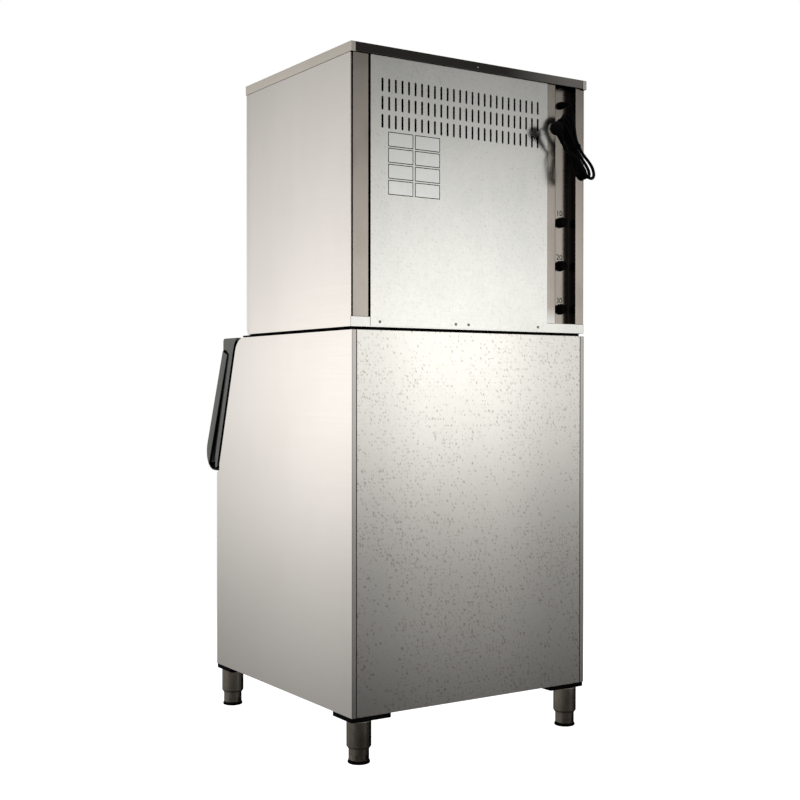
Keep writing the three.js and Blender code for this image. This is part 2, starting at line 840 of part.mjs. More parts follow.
function buildRearFace() {
  part('rear_post_right', post(rightPostInner, rightPostOuter), metals.stainless);
  part('rear_post_left', post(leftPostOuter, leftPostInner), metals.stainless);

  const wallX = leftPostInner + fit;
  const back = -channelDepth;
  const folded = new THREE.Shape([
    [stripEdge, 0], [channelLeft - sheet, 0], [channelLeft - sheet, back], [wallX + sheet, back],
    [wallX + sheet, 0], [wallX, 0], [wallX, back - sheet], [channelLeft, back - sheet],
    [channelLeft, -sheet], [stripEdge, -sheet],
  ].map(([a, b]) => new THREE.Vector2(a, b)));
  const holes = [];
  for (let i = 0; i < fittingCount; i++) {
    holes.push(bar(fittingCap / 2 + fit, 3 * sheet, 'y', [fittingX, back - 2 * sheet, fittingZ(i)], 16));
  }
  holes.push(bar(glandDiameter / 2 - 2 + fit, 3 * sheet, 'y', [fittingX, back - 2 * sheet, glandZ], 16));
  part('service_channel', cut(pull(folded, 'z', postLow, headCeiling), ...holes), metals.galvanised);

  const panelLow = headBottom + 3;
  const panelHigh = headTop - screwLedge;
  const panel = outline(rectangle(rearPanelLeft, rearPanelRight, panelLow, panelHigh));
  const firstVent = rearPanelLeft + ventMargin;
  const ventPitch = (rearPanelRight - rearPanelLeft - 2 * ventMargin) / (ventColumns - 1);
  for (let column = 0; column < ventColumns; column++) {
    for (let row = 0; row < ventRows; row++) {
      const x = firstVent + column * ventPitch;
      const z = headTop - ventDrop - ventLength / 2 - row * ventRowPitch;
      panel.holes.push(slot(x, z, ventWidth, ventLength));
    }
  }
  part('rear_panel', pull(panel, 'y', fit, fit + sheet), metals.galvanised);
  buildFittings();
}

const glandZ = headTop - glandDrop;

/** Height of one of the capped fittings, counted from the lowest. */
function fittingZ(index) {
  return headBottom + fittingRise + index * fittingSpacing;
}

function buildFittings() {
  const names = ['condensate_drain_fitting', 'water_drain_fitting', 'water_inlet_fitting'];
  const neck = fittingCap / 2 - 2;
  for (let i = 0; i < fittingCount; i++) {
    const nut = new THREE.CylinderGeometry(fittingNut / 2, fittingNut / 2, fittingNutLength, 6);
    nut.translate(fittingX, -channelDepth + fit + fittingNutLength / 2, fittingZ(i));
    const stub = turned([
      [0, -12], [neck, -12], [neck, fittingNutLength], [fittingCap / 2, fittingNutLength],
      [fittingCap / 2, fittingReach - 1.5], [fittingCap / 2 - 1.5, fittingReach], [0, fittingReach],
    ], 'y', [fittingX, -channelDepth + fit, fittingZ(i)], 16);
    part(names[i] ?? `fitting_${i}`, join(nut, stub), plastics.black);
  }
  const r = glandDiameter / 2;
  const tip = cordDiameter / 2 + 1.2;
  part('cable_gland', turned([
    [0, -10], [r - 2, -10], [r - 2, fit], [r, fit], [r, 7], [r - 1.5, 8.5], [r - 1.5, 12],
    [tip, glandReach], [0, glandReach],
  ], 'y', [fittingX, -channelDepth, glandZ], 16), plastics.black);
}

const partitionRear = -machineRoomDepth;
const partitionFront = partitionRear - partitionThickness;
const deckBottom = headBottom + sheet + fit;
const shelfZ = headBottom + shelfRise;
const shelfLeft = rearPanelLeft + condenserMargin;
const shelfRight = rearPanelRight - condenserMargin;
const condenserLeft = shelfLeft + condenserMargin;
const condenserRight = shelfRight - condenserMargin;
const condenserRear = -condenserRearGap;
const condenserFront = condenserRear - condenserDepth;
const shroudRear = condenserFront - fit;
const shroudFront = shroudRear - shroudDepth;
const fanX = (condenserLeft + condenserRight) / 2;
const fanZ = shelfZ + sheet + fit + condenserHeight / 2;
const ringRadius = fanDiameter / 2 + fanTipGap;

function buildMachineRoom() {
  part('partition_wall', box(-headInner + sheet + fit, headInner - sheet - fit, partitionFront, partitionRear,
    deckBottom, headCeiling), plastics.foam);

  const shelfFront = partitionRear + fit;
  const channel = outline([
    [shelfFront, shelfZ - shelfFlange],
    [shelfFront + sheet, shelfZ - shelfFlange],
    [shelfFront + sheet, shelfZ],
    [-sheet, shelfZ],
    [-sheet, shelfZ - shelfFlange],
    [0, shelfZ - shelfFlange],
    [0, shelfZ + sheet],
    [shelfFront, shelfZ + sheet],
  ]);
  part('condenser_shelf', cut(
    pull(channel, 'x', shelfLeft, shelfRight),
    box(shelfLeft + shelfFlange, shelfRight - shelfFlange, partitionRear + shelfFlange, shroudFront - 10,
      shelfZ - 5, shelfZ + 5),
  ), metals.galvanised);

  const finRoom = condenserRight - condenserLeft - 2 * sheet;
  const pitch = finRoom / finCount;
  const comb = [
    new THREE.Vector2(condenserLeft, condenserFront),
    new THREE.Vector2(condenserRight, condenserFront),
  ];
  for (let i = finCount - 1; i >= 0; i--) {
    const x = condenserLeft + sheet + (i + 0.5) * pitch;
    comb.push(new THREE.Vector2(x + pitch / 2 - 1, condenserRear));
    comb.push(new THREE.Vector2(x + pitch / 2 - 1, condenserRear - finSlot));
    comb.push(new THREE.Vector2(x - pitch / 2 + 1, condenserRear - finSlot));
    comb.push(new THREE.Vector2(x - pitch / 2 + 1, condenserRear));
  }
  comb.splice(2, 0, new THREE.Vector2(condenserRight, condenserRear));
  comb.push(new THREE.Vector2(condenserLeft, condenserRear));
  const base = shelfZ + sheet + fit;
  const bends = [];
  const bendRadius = condenserHeight / 16;
  for (let i = 0; i < 4; i++) {
    const bend = new THREE.TorusGeometry(bendRadius, 5, 6, 12);
    bend.rotateX(Math.PI / 2);
    bends.push(bend.translate(condenserRight, condenserFront + 8, base + (condenserHeight * (i + 0.5)) / 4));
  }
  const fins = pull(new THREE.Shape(comb), 'z', base, base + condenserHeight);
  part('condenser', join(fins, ...bends), metals.aluminium);

  buildFan(base);
  buildCompressor();
  const boxLeft = -headInner + 20;
  const boxFront = partitionRear + fit;
  const boxHalf = controlBoxHeight / 2;
  part('control_box', cut(
    box(boxLeft, boxLeft + controlBoxWidth, boxFront, boxFront + controlBoxDepth,
      shelfZ - boxHalf, shelfZ + boxHalf),
    box(boxLeft + 2, boxLeft + controlBoxWidth - 2, boxFront + 4, boxFront + controlBoxDepth + 1,
      shelfZ - boxHalf + 2, shelfZ + boxHalf - 2),
  ), plastics.grey);
}

/** The shroud with its ring, the motor on three arms, and the rotor on the motor's shaft. */
function buildFan(base) {
  const ring = turned([
    [ringRadius, 0], [ringRadius + 3, 0], [ringRadius + 3, shroudDepth], [ringRadius, shroudDepth],
    [ringRadius, 0],
  ], 'y', [fanX, shroudFront, fanZ], 32);
  const plate = box(condenserLeft, condenserRight, shroudRear - shroudWall, shroudRear,
    base, base + condenserHeight);
  const opening = bar(ringRadius, shroudDepth + 4, 'y', [fanX, shroudFront - 2, fanZ], 32);
  part('fan_shroud', cut(join(plate, ring), opening), metals.galvanised);

  const motorRear = shroudFront - 12;
  const motorFront = motorRear - motorLength;
  const rotorRear = shroudRear - 6;
  const arms = [90, 210, 330].map((angle) => {
    const arm = box(-motorArm / 2, motorArm / 2, -3, 0, motorDiameter / 2 - 4, ringRadius + 14);
    arm.rotateY(THREE.MathUtils.degToRad(angle - 90));
    return arm.translate(fanX, shroudFront - fit, fanZ);
  });
  const spider = turned([
    [0, 0], [motorDiameter / 2, 0], [motorDiameter / 2, 3], [0, 3],
  ], 'y', [fanX, shroudFront - fit - 3, fanZ], 24);
  const motor = turned([
    [0, 0], [motorDiameter / 2 - 6, 0], [motorDiameter / 2, 6], [motorDiameter / 2, motorLength],
    [0, motorLength],
  ], 'y', [fanX, motorFront, fanZ], 24);
  const neck = bar(motorDiameter / 4, 13, 'y', [fanX, motorRear - 0.5, fanZ], 16);
  const shaft = bar(shaftDiameter / 2, rotorRear - shroudFront, 'y', [fanX, shroudFront - 1, fanZ], 12);
  part('fan_motor', join(motor, neck, spider, ...arms, shaft), plastics.paint);

  const hub = turned([
    [shaftDiameter / 2 + fit, 0], [hubDiameter / 2, 0], [hubDiameter / 2, fanDepth],
    [shaftDiameter / 2 + fit, fanDepth], [shaftDiameter / 2 + fit, 0],
  ], 'y', [0, -fanDepth / 2, 0], 20);
  const root = hubDiameter / 2 - 2;
  const tip = fanDiameter / 2;
  const blade = new THREE.Shape();
  blade.moveTo(-14, root);
  blade.lineTo(14, root);
  blade.absarc(0, 0, tip, Math.PI / 2 - 0.42, Math.PI / 2 + 0.3, false);
  blade.closePath();
  const blades = [];
  for (let i = 0; i < fanBlades; i++) {
    const geometry = pull(blade, 'y', -1.2, 1.2);
    geometry.rotateZ(THREE.MathUtils.degToRad(22));
    geometry.rotateY((i * 2 * Math.PI) / fanBlades);
    blades.push(geometry);
  }
  const rotor = join(hub, ...blades);
  rotor.translate(fanX, (shroudFront + shroudRear) / 2, fanZ);
  part('fan_rotor', rotor, plastics.black);
}

/** A welded hermetic shell on a foot plate with four rubber grommets. */
function buildCompressor() {
  const r = compressorDiameter / 2;
  const x = shelfRight - compressorDiameter / 2 - 20;
  const y = partitionRear / 2;
  const foot = headBottom + sheet + fit;
  const h = compressorHeight;
  const seam = 6;
  const shell = turned([
    [0, 0], [r * 0.55, h * 0.018], [r * 0.86, h * 0.09], [r, h * 0.213], [r, h * 0.5], [r + 4, h * 0.5],
    [r + 4, h * 0.5 + seam], [r, h * 0.5 + seam], [r, h * 0.778],
    [r * 0.84, h * 0.92], [r * 0.5, h * 0.987], [0, h],
  ], 'z', [x, y, foot + compressorFoot], 28);
  const plate = pull(outline(rectangle(x - r - 14, x + r + 14, y - r * 0.9, y + r * 0.9, 16)), 'z',
    foot + compressorFoot - 1, foot + compressorFoot + 3);
  const grommets = [];
  for (const sx of [-1, 1]) {
    for (const sy of [-1, 1]) {
      grommets.push(bar(11, compressorFoot, 'z', [x + sx * (r - 2), y + sy * (r * 0.9 - 16), foot], 12));
    }
  }
  const stubs = [[0.3, 9], [-0.35, 6]].map(([offset, radius]) => bar(radius, h * 0.15, 'z',
    [x + offset * r, y, foot + compressorFoot + h * 0.9], 10));
  part('compressor', join(shell, plate, ...grommets, ...stubs), plastics.paint);
}

const evaporatorWidth = evaporatorColumns * cellPitch + cellWall;
const evaporatorHeight = evaporatorRows * cellPitch + cellWall;
const evaporatorBottom = headBottom + evaporatorRise;
const evaporatorTop = evaporatorBottom + evaporatorHeight;
const evaporatorBack = partitionFront - evaporatorSetback;
const evaporatorFace = evaporatorBack - cellDepth - cellWall;
const bracketX = evaporatorWidth / 2 + bracketThickness;
const curtainBack = evaporatorFace - curtainGap;
const trunnionZ = evaporatorTop + 24;
const trunnionY = curtainBack - curtainThickness / 2;
const tubeY = (evaporatorFace + evaporatorBack) / 2;
const tubeZ = evaporatorTop + tubeDiameter / 2 + fit;

function buildIceCompartment() {
  const half = evaporatorWidth / 2;
  const plate = box(-half, half, evaporatorFace, evaporatorBack, evaporatorBottom, evaporatorTop);
  const cells = [];
  for (let column = 0; column < evaporatorColumns; column++) {
    for (let row = 0; row < evaporatorRows; row++) {
      const x = -half + cellWall + column * cellPitch;
      const z = evaporatorBottom + cellWall + row * cellPitch;
      cells.push(box(x, x + cellPitch - cellWall, evaporatorFace - 1, evaporatorFace + cellDepth,
        z, z + cellPitch - cellWall));
    }
  }
  const bracketMiddle = half + bracketThickness / 2;
  const brackets = [1, -1].map((side) => cut(
    sideBox(side, half - 0.5, bracketX, curtainBack - 12, partitionFront - fit, evaporatorBottom + 20,
      trunnionZ + 14),
    sideBox(side, half - 1, bracketX + 1, curtainBack - 20, evaporatorFace - 2,
      evaporatorBottom, evaporatorTop - cellPitch),
    sideBox(side, half - 1, bracketX + 1, evaporatorFace + 4, partitionFront + 1,
      evaporatorTop + tubeDiameter + 4, trunnionZ + 20),
    bar(trunnionDiameter / 2 + 2 * fit, 12, 'x', [side * bracketMiddle - 6, trunnionY, trunnionZ], 12),
    bar(hoseDiameter / 2 + 1, 12, 'x', [side * bracketMiddle - 6, tubeY, tubeZ], 12),
  ));
  part('evaporator', join(cut(plate, ...cells), ...brackets), metals.nickel);

  part('distribution_tube', bar(tubeDiameter / 2, evaporatorWidth - 4, 'x', [-half + 2, tubeY, tubeZ]),
    plastics.white);

  const curtainHalf = half - 3;
  const curtainLow = evaporatorBottom - 18;
  const trunnionEnd = half + bracketThickness + 3;
  part('water_curtain', join(
    box(-curtainHalf, curtainHalf, curtainBack - curtainThickness, curtainBack, curtainLow, trunnionZ),
    box(-curtainHalf, curtainHalf, curtainBack - curtainThickness - 5, curtainBack - 1,
      curtainLow, curtainLow + 6),
    bar(trunnionDiameter / 2, 2 * trunnionEnd, 'x', [-trunnionEnd, trunnionY, trunnionZ], 12),
  ), plastics.white);
  buildTrough();
}

function buildTrough() {
  const half = evaporatorWidth / 2;
  const right = half + pumpBay;
  const low = headBottom + troughRise;
  const high = low + troughDepth;
  const front = partitionFront - troughReach;
  const back = partitionFront - fit;
  part('water_trough', cut(
    box(-half, right, front, back, low, high),
    box(-half + troughWall, right - troughWall, front + troughWall, back - troughWall,
      low + troughWall, high + 1),
  ), plastics.white);

  const pumpX = half + pumpBay / 2 + 4;
  const pumpY = (front + back) / 2 - 12;
  const foot = low + troughWall + fit;
  const r = pumpDiameter / 2;
  const outletX = pumpX - r * 0.35;
  const motorLow = troughDepth + pumpLift;
  const pumpTop = motorLow + pumpMotor;
  part('water_pump', turned([
    [0, 0], [r - fit, 0], [r - fit, pumpCup], [pumpStem, pumpCup + pumpEdge], [pumpStem, motorLow],
    [r, motorLow + pumpEdge], [r, pumpTop - 2 * pumpEdge], [r - pumpEdge, pumpTop], [0, pumpTop],
  ], 'z', [pumpX, pumpY, foot], 20), plastics.paint);

  const riserTop = foot + pumpTop + fit;
  const endX = half - 2 + fit;
  const curve = new THREE.CatmullRomCurve3([
    [outletX, pumpY, riserTop],
    [outletX, pumpY, riserTop + hoseBend],
    [outletX + hoseBend, pumpY + hoseBend / 2, (riserTop + tubeZ) / 2],
    [outletX + hoseBend, tubeY, tubeZ - 3 * hoseBend],
    [outletX + hoseBend / 2, tubeY, tubeZ - hoseBend],
    [outletX - hoseBend, tubeY, tubeZ],
    [endX + bracketThickness + hoseBend / 2, tubeY, tubeZ],
    [endX, tubeY, tubeZ],
  ].map((p) => new THREE.Vector3(...p)));
  part('pump_hose', hose(curve, hoseDiameter, 10, 22), plastics.white);
}

/** Places of the four legs: +x or -x side, rear or front. */
function legPlaces() {
  const x = binHalf - legInsetSide;
  return [
    ['rear_right', x, binRear - legInsetRear, 1, 1],
    ['rear_left', -x, binRear - legInsetRear, -1, 1],
    ['front_right', x, binFront + legInsetFront, 1, -1],
    ['front_left', -x, binFront + legInsetFront, -1, -1],
  ];
}

function buildLegs() {
  const padTop = binBottom - fit;
  const padLow = binBottom - padThickness;
  const sleeveTop = padLow - fit;
  const sleeveLow = sleeveTop - legSleeve;
  const r = legDiameter / 2;
  const bore = footDiameter / 2 + legWall / 8;
  for (const [word, x, y, sideX, sideY] of legPlaces()) {
    const cornerX = sideX * binHalf;
    const cornerY = sideY > 0 ? binRear : binFront;
    const inX = cornerX - sideX * padLength;
    const inY = cornerY - sideY * padWidth;
    const pad = outline(rectangle(Math.min(cornerX, inX), Math.max(cornerX, inX),
      Math.min(cornerY, inY), Math.max(cornerY, inY), 6), 0, 3);
    part(`corner_pad_${word}`, pull(pad, 'z', padLow, padTop), plastics.black);
    part(`leg_sleeve_${word}`, turned([
      [bore, 0], [r - legWall, 0], [r, legChamfer], [r, legSleeve], [0, legSleeve], [0, legSleeve - 4],
      [bore, legSleeve - 4],
      [bore, 0],
    ], 'z', [x, y, sleeveLow], 24), metals.darkSteel);
    const stem = turned([
      [0, footPad - 1], [footPadDiameter / 2 - 1, footPad - 1], [footDiameter / 2, footFlare],
      [footDiameter / 2, footStem], [0, footStem],
    ], 'z', [x, y, 0], 24);
    const flats = new THREE.CylinderGeometry(
      flatAcross / Math.sqrt(3), flatAcross / Math.sqrt(3) + 4, flatHeight, 6,
    );
    flats.rotateX(Math.PI / 2).translate(x, y, flatHeight / 2);
    const above = bar(footDiameter, footStem, 'z', [x, y, flatHeight - 0.5], 6);
    const disc = turned([
      [0, 0], [footPadDiameter / 2 - 2, 0], [footPadDiameter / 2, 2], [footPadDiameter / 2, footPad],
      [0, footPad],
    ], 'z', [x, y, 0], 24);
    part(`foot_${word}`, join(common(stem, join(flats, above)), disc), metals.darkSteel);
  }
}

// The hank hangs behind the head. Its long axis runs from its upper to its lower end.
const glandPlace = new THREE.Vector3(fittingX, 0, glandZ);
const hankTop = new THREE.Vector3(...hankTopPlace).add(glandPlace);
const hankLow = new THREE.Vector3(...hankLowPlace).add(glandPlace);
const hankFacing = new THREE.Vector3(-0.957, -0.289, 0);
const hankCentre = hankTop.clone().add(hankLow).multiplyScalar(0.5);
const hankAlong = hankLow.clone().sub(hankTop).normalize();
const hankAcross = hankFacing.addScaledVector(hankAlong, -hankFacing.dot(hankAlong)).normalize();
const hankStack = hankAlong.clone().cross(hankAcross).normalize();
if (hankStack.y < 0) {
  hankStack.negate();
}

/** A point of the hank from its place along, across and through the stack of loops. */
function hankPoint(along, across, layer) {
  const splay = 1 + (hankSplay * Math.max(0, along)) / hankHalfRun;
  return hankCentre.clone()
    .addScaledVector(hankAlong, along)
    .addScaledVector(hankAcross, across)
    .addScaledVector(hankStack, (layer - (hankLoops - 1) / 2) * hankPitch * splay);
}

/** Half the width between a loop's two runs, drawn in at the waist by the tie. */
function runWidth(along) {
  const free = Math.max(0, Math.abs(along) - hankTied) / (hankHalfRun - hankTied);
  return hankFold - (hankFold - hankWaist) * Math.cos((Math.PI * free) / 2) ** 2;
}

/**
 * The hank's centre line: down one run, round the lower fold, up the other, round the upper fold.
 * Each upward run climbs one layer. It starts at the waist and ends past the last lower fold.
 */
function hankLine() {
  const runSteps = loopSteps / 3;
  const foldSteps = loopSteps / 6;
  const points = [];
  for (let loop = 0; loop < hankLoops; loop++) {
    const from = loop === 0 ? 0 : -hankHalfRun;
    for (let k = 0; k < runSteps; k++) {
      const along = from + ((hankHalfRun - from) * k) / runSteps;
      points.push(hankPoint(along, runWidth(along), loop));
    }
    for (let k = 0; k < foldSteps; k++) {
      const t = (Math.PI * k) / foldSteps;
      points.push(hankPoint(hankHalfRun + hankFold * Math.sin(t), hankFold * Math.cos(t), loop));
    }
    if (loop === hankLoops - 1) {
      points.push(hankPoint(hankHalfRun, -hankFold, loop));
      points.push(hankPoint(hankHalfRun - cordDiameter, -hankFold, loop));
      break;
    }
    for (let k = 0; k < runSteps; k++) {
      const done = k / runSteps;
      const along = hankHalfRun * (1 - 2 * done);
      points.push(hankPoint(along, -runWidth(along), loop + (1 - Math.cos(Math.PI * done)) / 2));
    }
    for (let k = 0; k < foldSteps; k++) {
      const t = (Math.PI * k) / foldSteps;
      points.push(hankPoint(-hankHalfRun - hankFold * Math.sin(t), -hankFold * Math.cos(t), loop + 1));
    }
  }
  return points;
}

/** A round tube along a curve, with a given number of sides and steps. */
function hose(curve, diameter, sides, steps) {
  const ring = [];
  for (let k = 0; k < sides; k++) {
    const t = (2 * Math.PI * k) / sides;
    ring.push(new THREE.Vector2((diameter / 2) * Math.cos(t), (diameter / 2) * Math.sin(t)));
  }
  return new THREE.ExtrudeGeometry(new THREE.Shape(ring), { steps, extrudePath: curve, bevelEnabled: false });
}

/** The least gap between stretches of a cord that lie more than a fold apart along it. */
function leastGap(points) {
  const samples = new THREE.CatmullRomCurve3(points).getPoints(points.length * 8);
  let least = Infinity;
  for (let i = 0; i < samples.length; i++) {
    let travelled = 0;
    for (let j = i + 1; j < samples.length; j++) {
      travelled += samples[j].distanceTo(samples[j - 1]);
      if (travelled > 4 * cordDiameter) {
        least = Math.min(least, samples[i].distanceTo(samples[j]));
      }
    }
  }
  return least - cordDiameter;
}

/** The lead from the gland, the hank, and the short length from the hank to the plug. */
function buildCord() {
  const loops = hankLine();
  const first = loops[0];
  const last = loops[loops.length - 1];
  const exitY = -channelDepth + glandReach + fit;
  const lead = [[0, exitY, 0], [0, exitY + 5, 0], ...leadRoute].map((p) => (
    new THREE.Vector3(...p).add(glandPlace)));
  lead.push(first.clone().addScaledVector(hankAlong, -cordDiameter));
  lead.push(first.clone().addScaledVector(hankAlong, -2 * fit));
  part('supply_cord', hose(new THREE.CatmullRomCurve3(lead), cordDiameter, 8, 18), plastics.rubber);
  part('cord_hank', hose(new THREE.CatmullRomCurve3(loops), cordDiameter, 6, loopSteps * hankLoops),
    plastics.rubber);

  // The plug is an angled one: its pins point at the panel and its lead leaves sideways.
  const facing = new THREE.Vector3(-0.139, -0.944, 0.3).normalize();
  const leaving = new THREE.Vector3(-0.583, -0.167, -0.795);
  leaving.addScaledVector(facing, -leaving.dot(facing)).normalize();
  const plugCentre = new THREE.Vector3(...plugPlace).add(glandPlace);
  const reach = plugDiameter / 2 + plugRelief;
  const entry = plugCentre.clone().addScaledVector(leaving, reach + fit);
  const rise = loops[loops.length - 1].clone().sub(loops[loops.length - 2]).normalize();
  const tail = [
    last.clone().addScaledVector(rise, fit),
    last.clone().addScaledVector(rise, cordDiameter),
    last.clone().addScaledVector(rise, 2 * cordDiameter).lerp(entry, 0.3),
    entry.clone().addScaledVector(leaving, 2 * cordDiameter),
    entry.clone().addScaledVector(leaving, cordDiameter),
    entry,
  ];
  part('plug_lead', hose(new THREE.CatmullRomCurve3(tail), cordDiameter, 8, 8), plastics.rubber);

  const half = plugThickness / 2;
  const r = plugDiameter / 2;
  const head = turned([
    [0, -half], [r - 5, -half], [r, -half + 5], [r, half - 2], [r - 2, half], [0, half],
  ], 'z', [0, 0, 0], 20);
  const relief = turned([
    [0, r - 8], [half - 1.5, r - 8], [half - 2.5, r + 6], [cordDiameter / 2 + 1.2, reach], [0, reach],
  ], 'x', [0, 0, 0], 12);
  const pins = [-1, 1].map((side) => bar(plugPinDiameter / 2, plugPinReach + 1, 'z',
    [0, (side * plugPinSpacing) / 2, half - 1], 10));
  const plug = join(head, relief, ...pins);
  plug.applyMatrix4(new THREE.Matrix4().makeBasis(leaving, facing.clone().cross(leaving), facing));
  plug.translate(plugCentre.x, plugCentre.y, plugCentre.z);
  part('cord_plug', plug, plastics.rubber);

  const whole = [...lead.slice(0, -1), ...loops, ...tail.slice(1)];
  console.log(`cord length ${new THREE.CatmullRomCurve3(whole).getLength().toFixed(0)} mm`);
  console.log(`least gap of the hank to itself ${leastGap(loops).toFixed(2)} mm`);
}

buildBin();
buildDoorFrame();
buildDoor();
buildSeam();
buildHeadCase();
buildRearFace();
buildMachineRoom();
buildIceCompartment();
buildLegs();
buildCord();

// The frame's origin is on the floor under the middle of the machine.
const rearReach = coverOverhangRear + sheet;
const frontReach = doorFront;
machine.position.y = -(rearReach + frontReach) / 2;

export default machine;
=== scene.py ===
"""A modular ice maker, its head standing on a storage bin, dressed for a plain studio picture.

Sizes are millimetres in the machine's own coordinates: x to the right seen from the front, y = 0 at
the rear face of the head and growing to the rear, z = 0 on the floor. place() turns such a point
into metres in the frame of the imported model, whose origin lies FRAME_SHIFT in front of that face.
"""

import json
import logging
import math
from dataclasses import dataclass, field
from enum import Enum
from functools import reduce
from typing import Callable, Dict, List, Optional, Sequence, Tuple, Union

import bmesh
import bpy
from mathutils import Matrix, Vector

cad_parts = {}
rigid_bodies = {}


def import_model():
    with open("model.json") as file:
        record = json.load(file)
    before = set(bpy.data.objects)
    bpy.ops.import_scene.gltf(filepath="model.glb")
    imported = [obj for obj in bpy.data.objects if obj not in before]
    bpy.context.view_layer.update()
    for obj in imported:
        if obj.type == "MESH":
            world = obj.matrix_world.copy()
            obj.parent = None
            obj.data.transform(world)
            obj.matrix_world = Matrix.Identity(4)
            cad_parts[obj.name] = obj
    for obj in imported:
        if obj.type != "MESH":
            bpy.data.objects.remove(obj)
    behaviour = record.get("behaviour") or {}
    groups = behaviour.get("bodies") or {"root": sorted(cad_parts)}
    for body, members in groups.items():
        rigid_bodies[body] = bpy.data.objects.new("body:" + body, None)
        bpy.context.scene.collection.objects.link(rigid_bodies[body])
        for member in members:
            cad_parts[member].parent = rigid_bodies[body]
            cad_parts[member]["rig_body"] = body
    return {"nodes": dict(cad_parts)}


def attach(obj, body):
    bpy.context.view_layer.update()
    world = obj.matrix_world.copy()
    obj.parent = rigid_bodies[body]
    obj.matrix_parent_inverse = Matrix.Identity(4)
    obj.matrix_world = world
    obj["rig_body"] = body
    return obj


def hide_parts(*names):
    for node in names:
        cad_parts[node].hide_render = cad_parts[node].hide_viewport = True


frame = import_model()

Point = Tuple[float, float, float]
Colour = Tuple[float, float, float]
Value = Union[float, Sequence[float], bpy.types.NodeSocket]
Node = bpy.types.Node
Socket = bpy.types.NodeSocket
Shape = bmesh.types.BMesh

log = logging.getLogger("ice_maker")
MILLIMETRE = 0.001
FRAME_SHIFT = 422.2
HERE = Matrix.Identity(4)
RELIEF_DEPTH = 0.0002
FLAT = math.radians(0.6)
WELD = 1e-5
SHARP = 32.0
SHARP_MARGIN = 8.0


def place(x: float, y: float, z: float) -> Vector:
    """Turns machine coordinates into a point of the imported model's frame.

    Args:
        x: Millimetres to the right.
        y: Millimetres behind the rear face of the head.
        z: Millimetres above the floor.

    Returns:
        The same point in metres.
    """
    return Vector((x, y + FRAME_SHIFT, z)) * MILLIMETRE


def linear(red: int, green: int, blue: int) -> Colour:
    """Turns a colour of 0 to 255 a channel into linear values.

    Args:
        red: Red, as a screen shows it.
        green: Green.
        blue: Blue.

    Returns:
        The linear red, green and blue.
    """
    def channel(value: int) -> float:
        """One channel's linear value."""
        share = value / 255
        return share / 12.92 if share <= 0.04045 else ((share + 0.055) / 1.055) ** 2.4

    return channel(red), channel(green), channel(blue)


